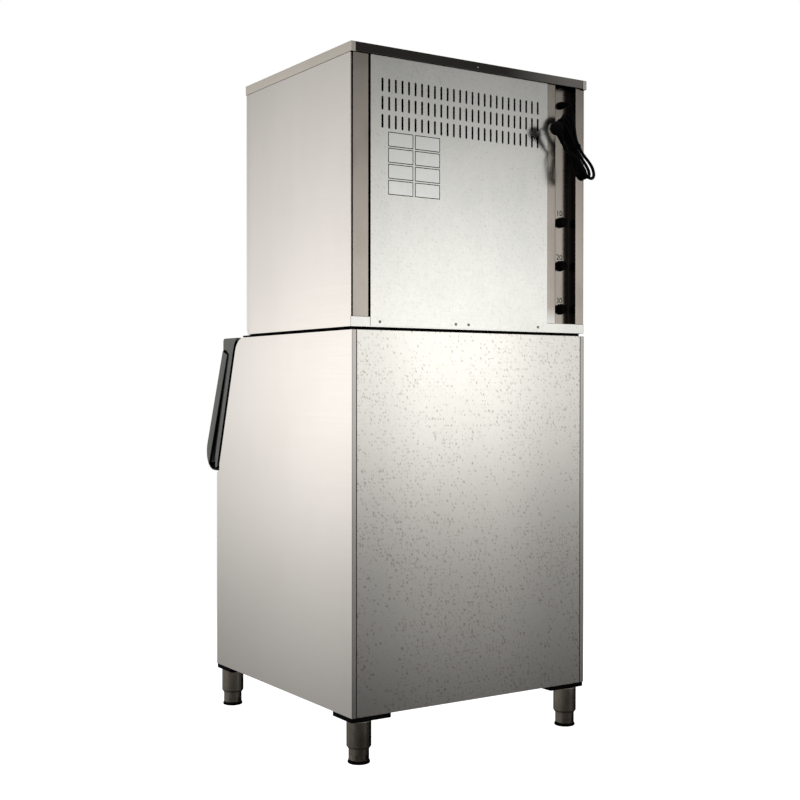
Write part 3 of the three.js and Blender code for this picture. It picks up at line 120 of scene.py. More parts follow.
class Graph:
    """Short ways to add and join the nodes of one tree."""

    def __init__(self, tree: bpy.types.NodeTree) -> None:
        """Keeps the tree that the nodes go into."""
        self.tree = tree

    def feed(self, socket: Socket, value: Value) -> None:
        """Links a socket to another, or sets its own value.

        Args:
            socket: The input to feed.
            value: An output to link from, a number, or a vector or colour.
        """
        if isinstance(value, Socket):
            self.tree.links.new(value, socket)
        elif socket.type == "RGBA" and len(value) == 3:
            socket.default_value = (*value, 1.0)
        else:
            socket.default_value = value

    def fill(self, node: Node, inputs: Dict[Union[int, str], Value]) -> Node:
        """Feeds several inputs of a node, by name or number, and returns it.

        Args:
            node: The node.
            inputs: What its inputs get.

        Returns:
            The node.
        """
        for key, value in inputs.items():
            self.feed(node.inputs[key], value)
        return node

    def add(self, kind: str, inputs: Optional[Dict[Union[int, str], Value]] = None,
            **settings: object) -> Node:
        """Adds a node.

        Args:
            kind: The node's type name.
            inputs: What its inputs get.
            **settings: Properties of the node, by name.

        Returns:
            The new node.
        """
        node = self.tree.nodes.new(kind)
        for name, value in settings.items():
            setattr(node, name, value)
        return self.fill(node, inputs or {})

    def math(self, operation: str, first: Value, second: Value = 0.0) -> Socket:
        """Adds a Math node and returns its result."""
        return self.add("ShaderNodeMath", {0: first, 1: second}, operation=operation).outputs[0]

    def times(self, *values: Value) -> Socket:
        """The product of two or more values."""
        return reduce(lambda first, second: self.math("MULTIPLY", first, second), values)

    def plus(self, *values: Value) -> Socket:
        """The sum of two or more values."""
        return reduce(lambda first, second: self.math("ADD", first, second), values)

    def most(self, *values: Value) -> Socket:
        """The largest of two or more values."""
        return reduce(lambda first, second: self.math("MAXIMUM", first, second), values)

    def above(self, value: Value, limit: Value) -> Socket:
        """1 where a value is above a limit, and else 0."""
        return self.math("GREATER_THAN", value, limit)

    def below(self, value: Value, limit: Value) -> Socket:
        """1 where a value is below a limit, and else 0."""
        return self.math("LESS_THAN", value, limit)

    def off(self, value: Value, middle: float = 0.0) -> Socket:
        """How far a value lies from a middle, to either side."""
        return self.math("ABSOLUTE", self.math("SUBTRACT", value, middle))

    def vector(self, operation: str, first: Value, second: Value = (0, 0, 0)) -> Socket:
        """Adds a Vector Math node and returns its vector, or the number that it gives."""
        node = self.add("ShaderNodeVectorMath", {0: first, 1: second}, operation=operation)
        return node.outputs["Value" if operation in ("LENGTH", "DOT_PRODUCT") else "Vector"]

    def split(self, value: Value, kind: str = "XYZ") -> Sequence[Socket]:
        """The three parts of a vector, or of a colour where kind is Color."""
        node = self.add(f"ShaderNodeSeparate{kind}", {0: value})
        return node.outputs[0], node.outputs[1], node.outputs[2]

    def blend(self, share: Value, first: Value, second: Value) -> Socket:
        """Mixes two colours.

        Args:
            share: How much of the second colour shows.
            first: The first colour.
            second: The second colour.

        Returns:
            The mixed colour's socket.
        """
        mixed = self.add("ShaderNodeMix", {"Factor": share, 6: first, 7: second}, data_type="RGBA")
        return mixed.outputs[2]

    def span(self, value: Value, low: Value, high: Value, to_low: Value = 0.0, to_high: Value = 1.0,
             smooth: bool = False) -> Socket:
        """Maps a range of values onto another, clamped.

        Args:
            value: The value to map.
            low: Where the first range starts.
            high: Where the first range ends.
            to_low: What the start becomes.
            to_high: What the end becomes.
            smooth: Whether the ends are eased.

        Returns:
            The mapped value's socket.
        """
        return self.add("ShaderNodeMapRange", dict(enumerate((value, low, high, to_low, to_high))),
                        interpolation_type="SMOOTHSTEP" if smooth else "LINEAR").outputs[0]

    def noise(self, where: Value, scale: Value, detail: float = 2.0) -> Socket:
        """Adds a noise texture and returns its value."""
        node = self.add("ShaderNodeTexNoise", {"Vector": where, "Scale": scale, "Detail": detail})
        return node.outputs[0]

    def cells(self, where: Value, scale: Value, **settings: object) -> Node:
        """Adds a Voronoi texture and returns its node."""
        return self.add("ShaderNodeTexVoronoi", {"Vector": where, "Scale": scale}, **settings)


def fresh_graph(holder: Union[bpy.types.Material, bpy.types.World]) -> Graph:
    """Gives a material or a world nodes of its own, none so far.

    Args:
        holder: The material or world.

    Returns:
        The graph of its empty node tree.
    """
    holder.use_nodes = True
    holder.node_tree.nodes.clear()
    return Graph(holder.node_tree)


GroupBody = Callable[[Graph, Node, Node], None]
Input = Tuple[str, str, object]
VECTOR: Input = ("Vector", "NodeSocketVector", None)


def number(name: str, default: float) -> Input:
    """A group's input for a number."""
    return name, "NodeSocketFloat", default


class EffectGroups:
    """Shader node groups that more than one finish uses, each built once."""

    def __init__(self) -> None:
        """Starts with no group built."""
        self._made: Dict[str, bpy.types.NodeTree] = {}

    def _group(self, name: str, inputs: Sequence[Input], outputs: Sequence[str],
               body: GroupBody) -> bpy.types.NodeTree:
        """Builds a group with named sockets, or gives the one that was built before.

        Args:
            name: The group's name.
            inputs: Name, socket type and default of each input.
            outputs: The name of each output, all of them numbers.
            body: What fills the group.

        Returns:
            The group's tree.
        """
        if name in self._made:
            return self._made[name]
        tree = bpy.data.node_groups.new(name, "ShaderNodeTree")
        for label, kind, default in inputs:
            socket = tree.interface.new_socket(label, in_out="INPUT", socket_type=kind)
            if default is not None:
                socket.default_value = default
        for label in outputs:
            tree.interface.new_socket(label, in_out="OUTPUT", socket_type="NodeSocketFloat")
        graph = Graph(tree)
        body(graph, graph.add("NodeGroupInput"), graph.add("NodeGroupOutput"))
        self._made[name] = tree
        return tree

    def brushed_grain(self) -> bpy.types.NodeTree:
        """The fine lines that rolling and brushing leave in a sheet.

        Returns:
            The group's tree.
        """
        def body(graph: Graph, given: Node, result: Node) -> None:
            """Stretches noise along the sheet's grain.

            Args:
                graph: The group's graph.
                given: The node of its inputs.
                result: The node of its outputs.
            """
            where = graph.vector("MULTIPLY", given.outputs["Vector"], given.outputs["Stretch"])
            fine, coarse = graph.noise(where, 1.0, 3.0), graph.noise(where, 0.21, 1.0)
            graph.feed(result.inputs["Grain"],
                       graph.plus(graph.times(fine, 0.7), graph.times(coarse, 0.3)))

        return self._group("brushed_grain", (VECTOR, ("Stretch", "NodeSocketVector", (10, 10, 600))),
                           ("Grain",), body)

    def zinc_spangle(self) -> bpy.types.NodeTree:
        """The crystals of a zinc coat, and the small tan flecks in it.

        Returns:
            The group's tree.
        """
        def body(graph: Graph, given: Node, result: Node) -> None:
            """Builds crystals from cells, and flecks from a few of another set of cells.

            Args:
                graph: The group's graph.
                given: The node of its inputs.
                result: The node of its outputs.
            """
            where, scale = given.outputs["Vector"], given.outputs["Crystals"]
            tone = graph.split(graph.cells(where, scale).outputs["Color"], "Color")[0]
            soft = graph.noise(where, scale, 1.0)
            graph.feed(result.inputs["Crystal"],
                       graph.plus(graph.times(tone, 0.55), graph.times(soft, 0.45)))
            x, _, z = graph.split(where)
            bent = graph.times(graph.noise(where, 150.0, 1.0), 0.011)
            drawn = graph.add("ShaderNodeCombineXYZ", {0: graph.plus(x, bent),
                                                       1: graph.times(graph.plus(z, bent), 0.72)})
            spots = graph.cells(drawn.outputs[0], given.outputs["Flecks"], voronoi_dimensions="2D")
            depth, lot, width = graph.split(spots.outputs["Color"], "Color")
            crowd = graph.noise(where, 5.0, 2.0)
            rare = graph.span(crowd, 0.36, 0.62, 0.80, given.outputs["Sparseness"])
            chosen = graph.above(lot, rare)
            reach = graph.span(width, 0.0, 1.0, 0.20, 0.48)
            near = graph.span(spots.outputs["Distance"], graph.times(reach, 0.7), reach, 1.0, 0.0)
            deep = graph.span(depth, 0.0, 1.0, 0.15, 0.80)
            graph.feed(result.inputs["Fleck"], graph.times(chosen, near, deep))

        return self._group("zinc_spangle", (VECTOR, number("Crystals", 120.0), number("Flecks", 150.0),
                                            number("Sparseness", 0.6)), ("Crystal", "Fleck"), body)

    def clouding(self) -> bpy.types.NodeTree:
        """Broad patches where a surface is a little darker, from handling and wiping.

        Returns:
            The group's tree.
        """
        def body(graph: Graph, given: Node, result: Node) -> None:
            """Shapes two scales of noise into one mask.

            Args:
                graph: The group's graph.
                given: The node of its inputs.
                result: The node of its outputs.
            """
            where, scale = given.outputs["Vector"], given.outputs["Scale"]
            broad = graph.noise(where, scale, 3.0)
            drawn = graph.vector("MULTIPLY", where, (1.0, 1.0, 0.25))
            wiped = graph.noise(drawn, graph.times(scale, 4.0), 2.0)
            mixed = graph.plus(graph.times(broad, 0.7), graph.times(wiped, 0.3))
            graph.feed(result.inputs["Mask"], graph.span(mixed, 0.42, 0.62, smooth=True))

        return self._group("clouding", (VECTOR, number("Scale", 4.0)), ("Mask",), body)

    def moulded_texture(self) -> bpy.types.NodeTree:
        """The fine spark-eroded texture of a moulding.

        Returns:
            The group's tree.
        """
        def body(graph: Graph, given: Node, result: Node) -> None:
            """Joins fine noise to small cells.

            Args:
                graph: The group's graph.
                given: The node of its inputs.
                result: The node of its outputs.
            """
            where, scale = given.outputs["Vector"], given.outputs["Scale"]
            cells = graph.cells(where, scale, feature="SMOOTH_F1").outputs["Distance"]
            fine = graph.noise(where, scale, 2.0)
            graph.feed(result.inputs["Height"],
                       graph.plus(graph.times(cells, 0.6), graph.times(fine, 0.5)))

        return self._group("moulded_texture", (VECTOR, number("Scale", 900.0)), ("Height",), body)

    def settled_dust(self) -> bpy.types.NodeTree:
        """Dust that lies on faces which look upwards.

        Returns:
            The group's tree.
        """
        def body(graph: Graph, given: Node, result: Node) -> None:
            """Multiplies how far a face looks up by a patchy noise.

            Args:
                graph: The group's graph.
                given: The node of its inputs.
                result: The node of its outputs.
            """
            up = graph.split(graph.add("ShaderNodeNewGeometry").outputs["Normal"])[2]
            patch = graph.span(graph.noise(given.outputs["Vector"], 60.0, 4.0), 0.35, 0.75)
            graph.feed(result.inputs["Mask"],
                       graph.times(graph.span(up, 0.35, 0.95), patch, given.outputs["Amount"]))

        return self._group("settled_dust", (VECTOR, number("Amount", 0.3)), ("Mask",), body)


EFFECTS = EffectGroups()


class Grain(Enum):
    """How often a sheet's grain repeats along x, y and z, per metre."""

    ACROSS = (9.0, 9.0, 900.0)
    UPRIGHT = (900.0, 900.0, 9.0)
    NONE = (60.0, 60.0, 60.0)


class Finish:
    """What every finish shares: a material that is built the first time it is asked for."""

    name: str

    def material(self) -> bpy.types.Material:
        """The finish's material."""
        found = bpy.data.materials.get(f"finish_{self.name}")
        return found if found else self._build()

    def _build(self) -> bpy.types.Material:
        """Builds the material."""
        raise NotImplementedError

    def _start(self) -> Tuple[bpy.types.Material, Graph, Node, Socket]:
        """Makes an empty material.

        Returns:
            The material, its graph, its Principled BSDF and the object coordinates.
        """
        material = bpy.data.materials.new(f"finish_{self.name}")
        graph = fresh_graph(material)
        shader = graph.add("ShaderNodeBsdfPrincipled")
        graph.add("ShaderNodeOutputMaterial", {0: shader.outputs[0]})
        return material, graph, shader, graph.add("ShaderNodeTexCoord").outputs["Object"]

    @staticmethod
    def _effect(graph: Graph, tree: bpy.types.NodeTree, **values: Value) -> Node:
        """Places an effect group with its own values.

        Args:
            graph: The material's graph.
            tree: The group.
            **values: The group's inputs, by name.

        Returns:
            The group node.
        """
        return graph.add("ShaderNodeGroup", values, node_tree=tree)

    @staticmethod
    def _relief(graph: Graph, shader: Node, height: Value, strength: float) -> None:
        """Feeds a height through a Bump node into the shader's normal.

        Args:
            graph: The material's graph.
            shader: The node whose normal it feeds.
            height: The height.
            strength: How strongly it shows.
        """
        bump = graph.add("ShaderNodeBump", {"Strength": strength, "Distance": RELIEF_DEPTH,
                                            "Height": height})
        graph.feed(shader.inputs["Normal"], bump.outputs[0])


@dataclass(frozen=True)
class SheetMetal(Finish):
    """A bare metal sheet: rolled or brushed steel, or steel with a zinc coat."""

    name: str
    colour: Colour
    shade: Colour
    roughness: float
    grain: Grain = Grain.ACROSS
    grain_depth: float = 0.12
    cloud: float = 0.25
    cloud_scale: float = 3.0
    spangle: float = 0.0
    flecks: float = 0.0
    fleck_colour: Colour = (0.42, 0.36, 0.30)
    # The next three fields paint lines of shadow where the gaps between sheets fall: each seam gives a
    # distance from x = 0 and a half width, in millimetres.
    seams: Tuple[Tuple[float, float], ...] = ()
    seams_from: float = 0.0
    seam_colour: Colour = (0.02, 0.02, 0.022)
    # The next two fields paint shade on the flange turned onto the rear face, stronger towards the top.
    flange: float = 0.0
    flange_colour: Colour = (0.13, 0.115, 0.105)
    uneven: float = 0.015
    # The next fields up to side_colour paint shade: the sheet grows darker towards both of its ends
    # along x.
    side_shade: float = 0.0
    side_middle: float = 0.04
    crystals: float = 110.0
    fleck_cells: float = 150.0
    sparseness: float = 0.36
    side_from: float = 0.10
    side_to: float = 0.32
    side_colour: Colour = (0.10, 0.10, 0.10)
    spangle_roughness: float = 0.015

    def _paint_shade(self, graph: Graph, where: Value, colour: Value) -> Value:
        """Paints shade at the sides and on the flange, and dark lines of painted shadow in the gaps
        where sheets meet.

        Args:
            graph: The material's graph.
            where: The object coordinates.
            colour: The colour so far.

        Returns:
            The colour with these in it.
        """
        x, y, z = graph.split(where)
        # Painted shade: the colour darkens towards both sides, away from the middle.
        if self.side_shade:
            away = graph.off(x, self.side_middle)
            share = graph.span(away, self.side_from, self.side_to, 0.0, self.side_shade, smooth=True)
            colour = graph.blend(share, colour, self.side_colour)
        if not self.seams:
            return colour
        # Painted shadow in the gaps between sheets, on faces behind seams_from.
        aside = graph.math("ABSOLUTE", x)
        lines = [graph.below(graph.off(aside, middle * MILLIMETRE), half * MILLIMETRE)
                 for middle, half in self.seams]
        behind = graph.above(y, place(0, self.seams_from, 0).y)
        # Painted shade on the flange behind seams_from, stronger higher up.
        flange_shade = graph.times(behind, self.flange, graph.span(z, 0.2, 0.9, 0.45, 1.0))
        colour = graph.blend(flange_shade, colour, self.flange_colour)
        return graph.blend(graph.times(graph.most(*lines), behind), colour, self.seam_colour)

    def _build(self) -> bpy.types.Material:
        """Builds grain, clouding and, on a zinc coat, crystals and flecks.

        Returns:
            The material.
        """
        material, graph, shader, where = self._start()
        grain = self._effect(graph, EFFECTS.brushed_grain(), Vector=where, Stretch=self.grain.value)
        cloud = self._effect(graph, EFFECTS.clouding(), Vector=where, Scale=self.cloud_scale)
        colour = graph.blend(graph.times(cloud.outputs["Mask"], self.cloud), self.colour, self.shade)
        uneven = graph.span(grain.outputs["Grain"], 0.3, 0.7, -self.uneven, self.uneven)
        roughness = graph.plus(uneven, self.roughness)
        if self.spangle or self.flecks:
            zinc = self._effect(graph, EFFECTS.zinc_spangle(), Vector=where, Crystals=self.crystals,
                                Flecks=self.fleck_cells, Sparseness=self.sparseness)
            crystal, fleck = zinc.outputs["Crystal"], zinc.outputs["Fleck"]
            colour = graph.blend(graph.times(crystal, self.spangle), colour, self.shade)
            colour = graph.blend(graph.times(fleck, self.flecks), colour, self.fleck_colour)
            roughness = graph.plus(roughness, graph.times(crystal, self.spangle_roughness))
        graph.fill(shader, {"Base Color": self._paint_shade(graph, where, colour), "Metallic": 1.0,
                            "Roughness": roughness})
        self._relief(graph, shader, grain.outputs["Grain"], self.grain_depth)
        return material


@dataclass(frozen=True)
class ChannelSteel(SheetMetal):
    """The service channel's steel, with painted shade on the recess's far wall and on the back near it,
    which hardly get any light.
    """

    # The next fields up to the shadow colour paint shade in the recess, near black at the far wall.
    wall: float = -0.3472
    back: float = -27.0
    fold: float = -0.276
    wall_depth: float = 13.0
    wall_shade: Tuple[float, float] = (0.66, 0.96)
    corner: Tuple[float, float] = (-0.322, -0.344)
    corner_shade: float = 0.72
    shadow: Colour = (0.008, 0.008, 0.008)
    # The next three fields paint light: a lighter band at the foot of the strip, as if reflected from
    # the base below.
    foot: Tuple[float, float] = (1.165, 1.128)
    foot_light: float = 0.7
    foot_light_colour: Colour = (0.74, 0.73, 0.71)

    def _paint_shade(self, graph: Graph, where: Value, colour: Value) -> Value:
        """Paints shade in the recess, darker towards the machine's left, and paints reflected light on
        the strip's foot.

        Args:
            graph: The material's graph.
            where: The object coordinates.
            colour: The colour so far.

        Returns:
            The colour with these in it.
        """
        colour = super()._paint_shade(graph, where, colour)
        x, y, z = graph.split(where)
        # Painted shade: the far wall and the back wall near it blend to near black.
        outward = graph.span(y, place(0, self.back, 0).y, place(0, self.back + self.wall_depth, 0).y,
                             *self.wall_shade)
        deep = graph.below(y, place(0, self.back + 1, 0).y)
        near = graph.times(graph.span(x, *self.corner, 0.0, self.corner_shade), deep)
        share = graph.most(graph.times(graph.below(x, self.wall), outward), near)
        colour = graph.blend(share, colour, self.shadow)
        # Painted light: the strip, and what lies to its right, grows lighter towards its foot.
        low = graph.times(graph.span(z, *self.foot, 0.0, self.foot_light), graph.above(x, self.fold))
        return graph.blend(low, colour, self.foot_light_colour)


@dataclass(frozen=True)
class Moulding(Finish):
    """A moulded plastic or rubber part."""

    name: str
    colour: Colour
    shade: Colour
    roughness: float
    texture: float = 900.0
    depth: float = 0.12
    dust: float = 0.25
    dust_colour: Colour = (0.30, 0.29, 0.27)
    coat: float = 0.0
    gloss: float = 0.5
    cloud_scale: float = 9.0
    uneven: float = 0.05
    dusty_roughness: float = 0.3

    def _edge(self, graph: Graph, where: Value, colour: Value) -> Value:
        """The colour with what a special moulding adds to it, here nothing."""
        return colour

    def _build(self) -> bpy.types.Material:
        """Builds the mould's texture, a slow change of tone and a little dust.

        Returns:
            The material.
        """
        material, graph, shader, where = self._start()
        cloud = self._effect(graph, EFFECTS.clouding(), Vector=where, Scale=self.cloud_scale)
        texture = self._effect(graph, EFFECTS.moulded_texture(), Vector=where, Scale=self.texture)
        dust = self._effect(graph, EFFECTS.settled_dust(), Vector=where, Amount=self.dust)
        colour = graph.blend(cloud.outputs["Mask"], self.colour, self.shade)
        colour = graph.blend(dust.outputs["Mask"], colour, self.dust_colour)
        spread = graph.span(texture.outputs["Height"], 0.2, 0.8, -self.uneven, self.uneven)
        dusty = graph.times(dust.outputs["Mask"], self.dusty_roughness)
        graph.fill(shader, {"Base Color": self._edge(graph, where, colour),
                            "Roughness": graph.plus(spread, self.roughness, dusty),
                            "Coat Weight": self.coat, "Specular IOR Level": self.gloss})
        self._relief(graph, shader, texture.outputs["Height"], self.depth)
        return material


@dataclass(frozen=True)
class DoorMoulding(Moulding):
    """A grey moulding of the door, black along the gap between door and frame, and black under the lip
    as painted shadow in the hollow there.
    """

    edge_top: Tuple[float, float] = (-711.3, 1032.3)
    edge_low: Tuple[float, float] = (-834.6, 715.5)
    toward: float = 1.0
    margin: float = 3.5
    lip: float = 711.0
    ceiling: float = 1100.0
    gap_colour: Colour = (0.003, 0.003, 0.003)

    def _edge(self, graph: Graph, where: Value, colour: Value) -> Value:
        """Blackens what lies near the inner edge, and paints shadow low on the lip.

        Args:
            graph: The material's graph.
            where: The object coordinates.
            colour: The colour so far.

        Returns:
            The colour with these in it.
        """
        top, low = place(0, *self.edge_top), place(0, *self.edge_low)
        along = (top - low).normalized()
        inward = Vector((0, along.z, -along.y))
        reach = graph.math("SUBTRACT", graph.vector("DOT_PRODUCT", where, inward), top.dot(inward))
        height = graph.split(where)[2]
        past = graph.above(graph.times(reach, self.toward), -self.margin * MILLIMETRE)
        edge = graph.times(past, graph.below(height, self.ceiling * MILLIMETRE))
        # Painted shadow: everything below the lip's height turns black.
        under = graph.below(height, self.lip * MILLIMETRE)
        return graph.blend(graph.most(edge, under), colour, self.gap_colour)


@dataclass(frozen=True)
class CoverSteel(Finish):
    """The lid's brushed steel, whose rear skirt is a darker strip than the rest."""

    name: str
    colour: Colour
    strip: Colour
    strip_far: Colour
    hem: Colour
    strip_start: float
    strip_half: float
    roughness: float
    hem_top: float = 1776.5
    grain_depth: float = 0.12
    cloud: float = 0.25
    cloud_scale: float = 4.0
    clouded: float = 0.8
    far: Tuple[float, float] = (-0.10, -0.32)
    uneven: float = 0.03

    def _build(self) -> bpy.types.Material:
        """Builds the grain, and darkens what lies behind strip_start and inside strip_half.

        Returns:
            The material.
        """
        material, graph, shader, where = self._start()
        grain = self._effect(graph, EFFECTS.brushed_grain(), Vector=where, Stretch=Grain.ACROSS.value)
        cloud = self._effect(graph, EFFECTS.clouding(), Vector=where, Scale=self.cloud_scale)
        x, y, z = graph.split(where)
        strip = graph.times(graph.above(y, place(0, self.strip_start, 0).y),
                            graph.below(graph.math("ABSOLUTE", x), self.strip_half * MILLIMETRE))
        worn = graph.blend(graph.times(cloud.outputs["Mask"], self.cloud), self.colour,
                           tuple(self.clouded * part for part in self.colour))
        # Painted light: the rear strip grows lighter towards the machine's left, from strip to
        # strip_far.
        lit = graph.blend(graph.span(x, *self.far), self.strip, self.strip_far)
        lit = graph.blend(graph.below(z, self.hem_top * MILLIMETRE), lit, self.hem)
        uneven = graph.span(grain.outputs["Grain"], 0.3, 0.7, -self.uneven, self.uneven)
        graph.fill(shader, {"Base Color": graph.blend(strip, worn, lit), "Metallic": 1.0,
                            "Roughness": graph.plus(uneven, self.roughness)})
        self._relief(graph, shader, grain.outputs["Grain"], self.grain_depth)
        return material


STEEL_TONES = (linear(228, 222, 215), linear(214, 207, 199))
POST_TONES = (linear(170, 162, 153), linear(140, 133, 124))
STAINLESS = SheetMetal("satin_stainless", *STEEL_TONES, 0.17, Grain.ACROSS, 0.025, 0.18, 3.0)
# The bin sides' rear flange gets painted shade, and painted shadow lines in the gaps beside it.
BIN_STAINLESS = SheetMetal("bin_stainless", *STEEL_TONES, 0.17, Grain.ACROSS, 0.025, 0.18, 3.0,
                           seams=((364.1, 1.3), (376.9, 0.35)), seams_from=3.0, flange=0.62)
POST_STEEL = SheetMetal("post_stainless", *POST_TONES, 0.22, Grain.UPRIGHT, 0.05, 0.45, 6.0)
# The channel's strip gets painted shadow lines in the gaps at both of its edges.
CHANNEL_STEEL = ChannelSteel("channel_stainless", *POST_TONES, 0.24, Grain.UPRIGHT, 0.05, 0.4, 6.0,
                             seams=((248.6, 0.9), (276.4, 0.9)), seams_from=-1.5)
GALVANISED = SheetMetal("galvanised_head", linear(218, 217, 211), linear(190, 193, 190), 0.20,
                        Grain.NONE, 0.012, 0.16, 5.0, 0.10, 0.30, uneven=0.004)
# The bin's rear panel gets painted shade towards its left and right edges.
BIN_ZINC = SheetMetal("galvanised_bin", linear(220, 217, 210), linear(194, 192, 184), 0.18,
                      Grain.NONE, 0.008, 0.08, 4.0, 0.07, 0.80, (0.33, 0.285, 0.24), uneven=0.004,
                      side_shade=0.15)
COVER_STEEL = CoverSteel("cover_stainless", linear(226, 218, 206), (0.045, 0.042, 0.038),
                         (0.26, 0.245, 0.225), (0.16, 0.14, 0.11), 5.4, 370.0, 0.22)
DARK_STEEL = SheetMetal("dull_nickel_legs", linear(150, 141, 129), linear(120, 112, 101), 0.18,
                        Grain.UPRIGHT, 0.06, 0.5, 30.0)
BRIGHT_PIN = SheetMetal("bright_pins", linear(214, 210, 200), linear(180, 176, 166), 0.22,
                        Grain.NONE, 0.05)
SCREW_ZINC = SheetMetal("screw_zinc", linear(198, 196, 188), linear(150, 146, 138), 0.30,
                        Grain.NONE, 0.05)
NICKEL = SheetMetal("plated_nickel", linear(206, 202, 190), linear(176, 170, 156), 0.28,
                    Grain.NONE, 0.05)
LABEL_FILM = SheetMetal("label_film", linear(222, 223, 218), linear(206, 208, 204), 0.22,
                        Grain.NONE, 0.01, 0.1, 9.0)
BLACK_PLASTIC = Moulding("black_plastic", linear(9, 9, 9), linear(14, 14, 14), 0.45, dust=0.02,
                         gloss=0.012)
GLOSS_BLACK = Moulding("gloss_black", linear(12, 12, 13), linear(16, 16, 17), 0.22, 1200.0, 0.03, 0.1,
                       coat=0.3)
GREY_PLASTIC = Moulding("grey_plastic", linear(104, 104, 101), linear(95, 95, 92), 0.50, 1100.0, 0.10,
                        0.06, gloss=0.25)
DOOR_GREY = DoorMoulding("door_grey", linear(122, 122, 118), linear(118, 118, 114), 0.50, 1100.0, 0.10,
                         0.04, gloss=0.25)
FRAME_GREY = DoorMoulding("frame_grey", linear(124, 124, 120), linear(120, 120, 116), 0.50, 1100.0,
                          0.10, 0.04, gloss=0.20, edge_top=(-701.2, 1042.5), edge_low=(-791.3, 761.0),
                          toward=-1.0, margin=6.0, lip=706.0, ceiling=1041.0)
WHITE_PLASTIC = Moulding("white_plastic", linear(226, 228, 226), linear(214, 216, 214), 0.38, 1100.0,
                         0.05, 0.06, linear(190, 188, 180))
FOAM = Moulding("foam_board", linear(222, 216, 194), linear(206, 198, 172), 0.85, 700.0, 0.30, 0.2)
RUBBER = Moulding("black_rubber", linear(8, 8, 8), linear(12, 12, 12), 0.70, 1400.0, 0.10, 0.02,
                  gloss=0.012)
CORD_SHEATH = Moulding("cord_sheath", linear(8, 8, 8), linear(11, 11, 11), 0.42, 1500.0, 0.05, 0.02,
                       gloss=0.05)
BLACK_PAINT = Moulding("black_paint", linear(20, 21, 23), linear(28, 29, 31), 0.32, 700.0, 0.06, 0.2,
                       coat=0.1)
# The condenser's black coat, near black and with no gloss at all, so that it also paints the shade seen
# through the vent slots.
COIL_BLACK = Moulding("coil_black", linear(9, 9, 10), linear(15, 15, 15), 0.60, 700.0, 0.06, 0.0,
                      gloss=0.0)
PRINT_INK = Moulding("print_ink", linear(24, 24, 24), linear(34, 34, 33), 0.50, 1500.0, 0.03, 0.0,
                     gloss=0.1)


def link_object(name: str, data: bpy.types.ID) -> bpy.types.Object:
    """Puts a mesh, a curve, a lamp or a camera into the scene as an object at the origin.

    Args:
        name: The object's name.
        data: What it holds.

    Returns:
        The new object.
    """
    item = bpy.data.objects.new(name, data)
    bpy.context.scene.collection.objects.link(item)
    return item


def evaluated_mesh(item: bpy.types.Object) -> bpy.types.Mesh:
    """The mesh that an object has after its modifiers."""
    bpy.context.view_layer.update()
    return bpy.data.meshes.new_from_object(item.evaluated_get(bpy.context.evaluated_depsgraph_get()))


def bake_modifiers(item: bpy.types.Object) -> None:
    """Turns an object and its modifiers into a plain mesh.

    Args:
        item: The object, which loses its modifiers.
    """
    shaped = evaluated_mesh(item)
    item.modifiers.clear()
    item.data = shaped


def shade_smooth(item: bpy.types.Object, angle: float) -> None:
    """Shades an object smooth, apart from edges of more than an angle in degrees."""
    item.data.shade_smooth()
    item.data.set_sharp_from_angle(angle=math.radians(angle))


def round_edges(item: bpy.types.Object, radius: float, segments: int = 2) -> None:
    """Rounds the sharp edges of an object, and shades it smooth apart from what stays sharp.

    Args:
        item: The object, whose mesh is replaced.
        radius: The edges' radius in millimetres.
        segments: How many steps each round has.
    """
    bevel = item.modifiers.new("edges", "BEVEL")
    bevel.width = radius * MILLIMETRE
    bevel.segments = segments
    bevel.limit_method = "ANGLE"
    bevel.angle_limit = math.radians(SHARP)
    bevel.use_clamp_overlap = True
    bake_modifiers(item)
    shade_smooth(item, SHARP + SHARP_MARGIN)
    weighted = item.modifiers.new("normals", "WEIGHTED_NORMAL")
    weighted.keep_sharp = True
    bake_modifiers(item)


def wear(item: bpy.types.Object, finish: Finish) -> bpy.types.Object:
    """Gives an object one finish all over and returns it.

    Args:
        item: The object.
        finish: Its finish.

    Returns:
        The object.
    """
    item.data.materials.clear()
    item.data.materials.append(finish.material())
    return item


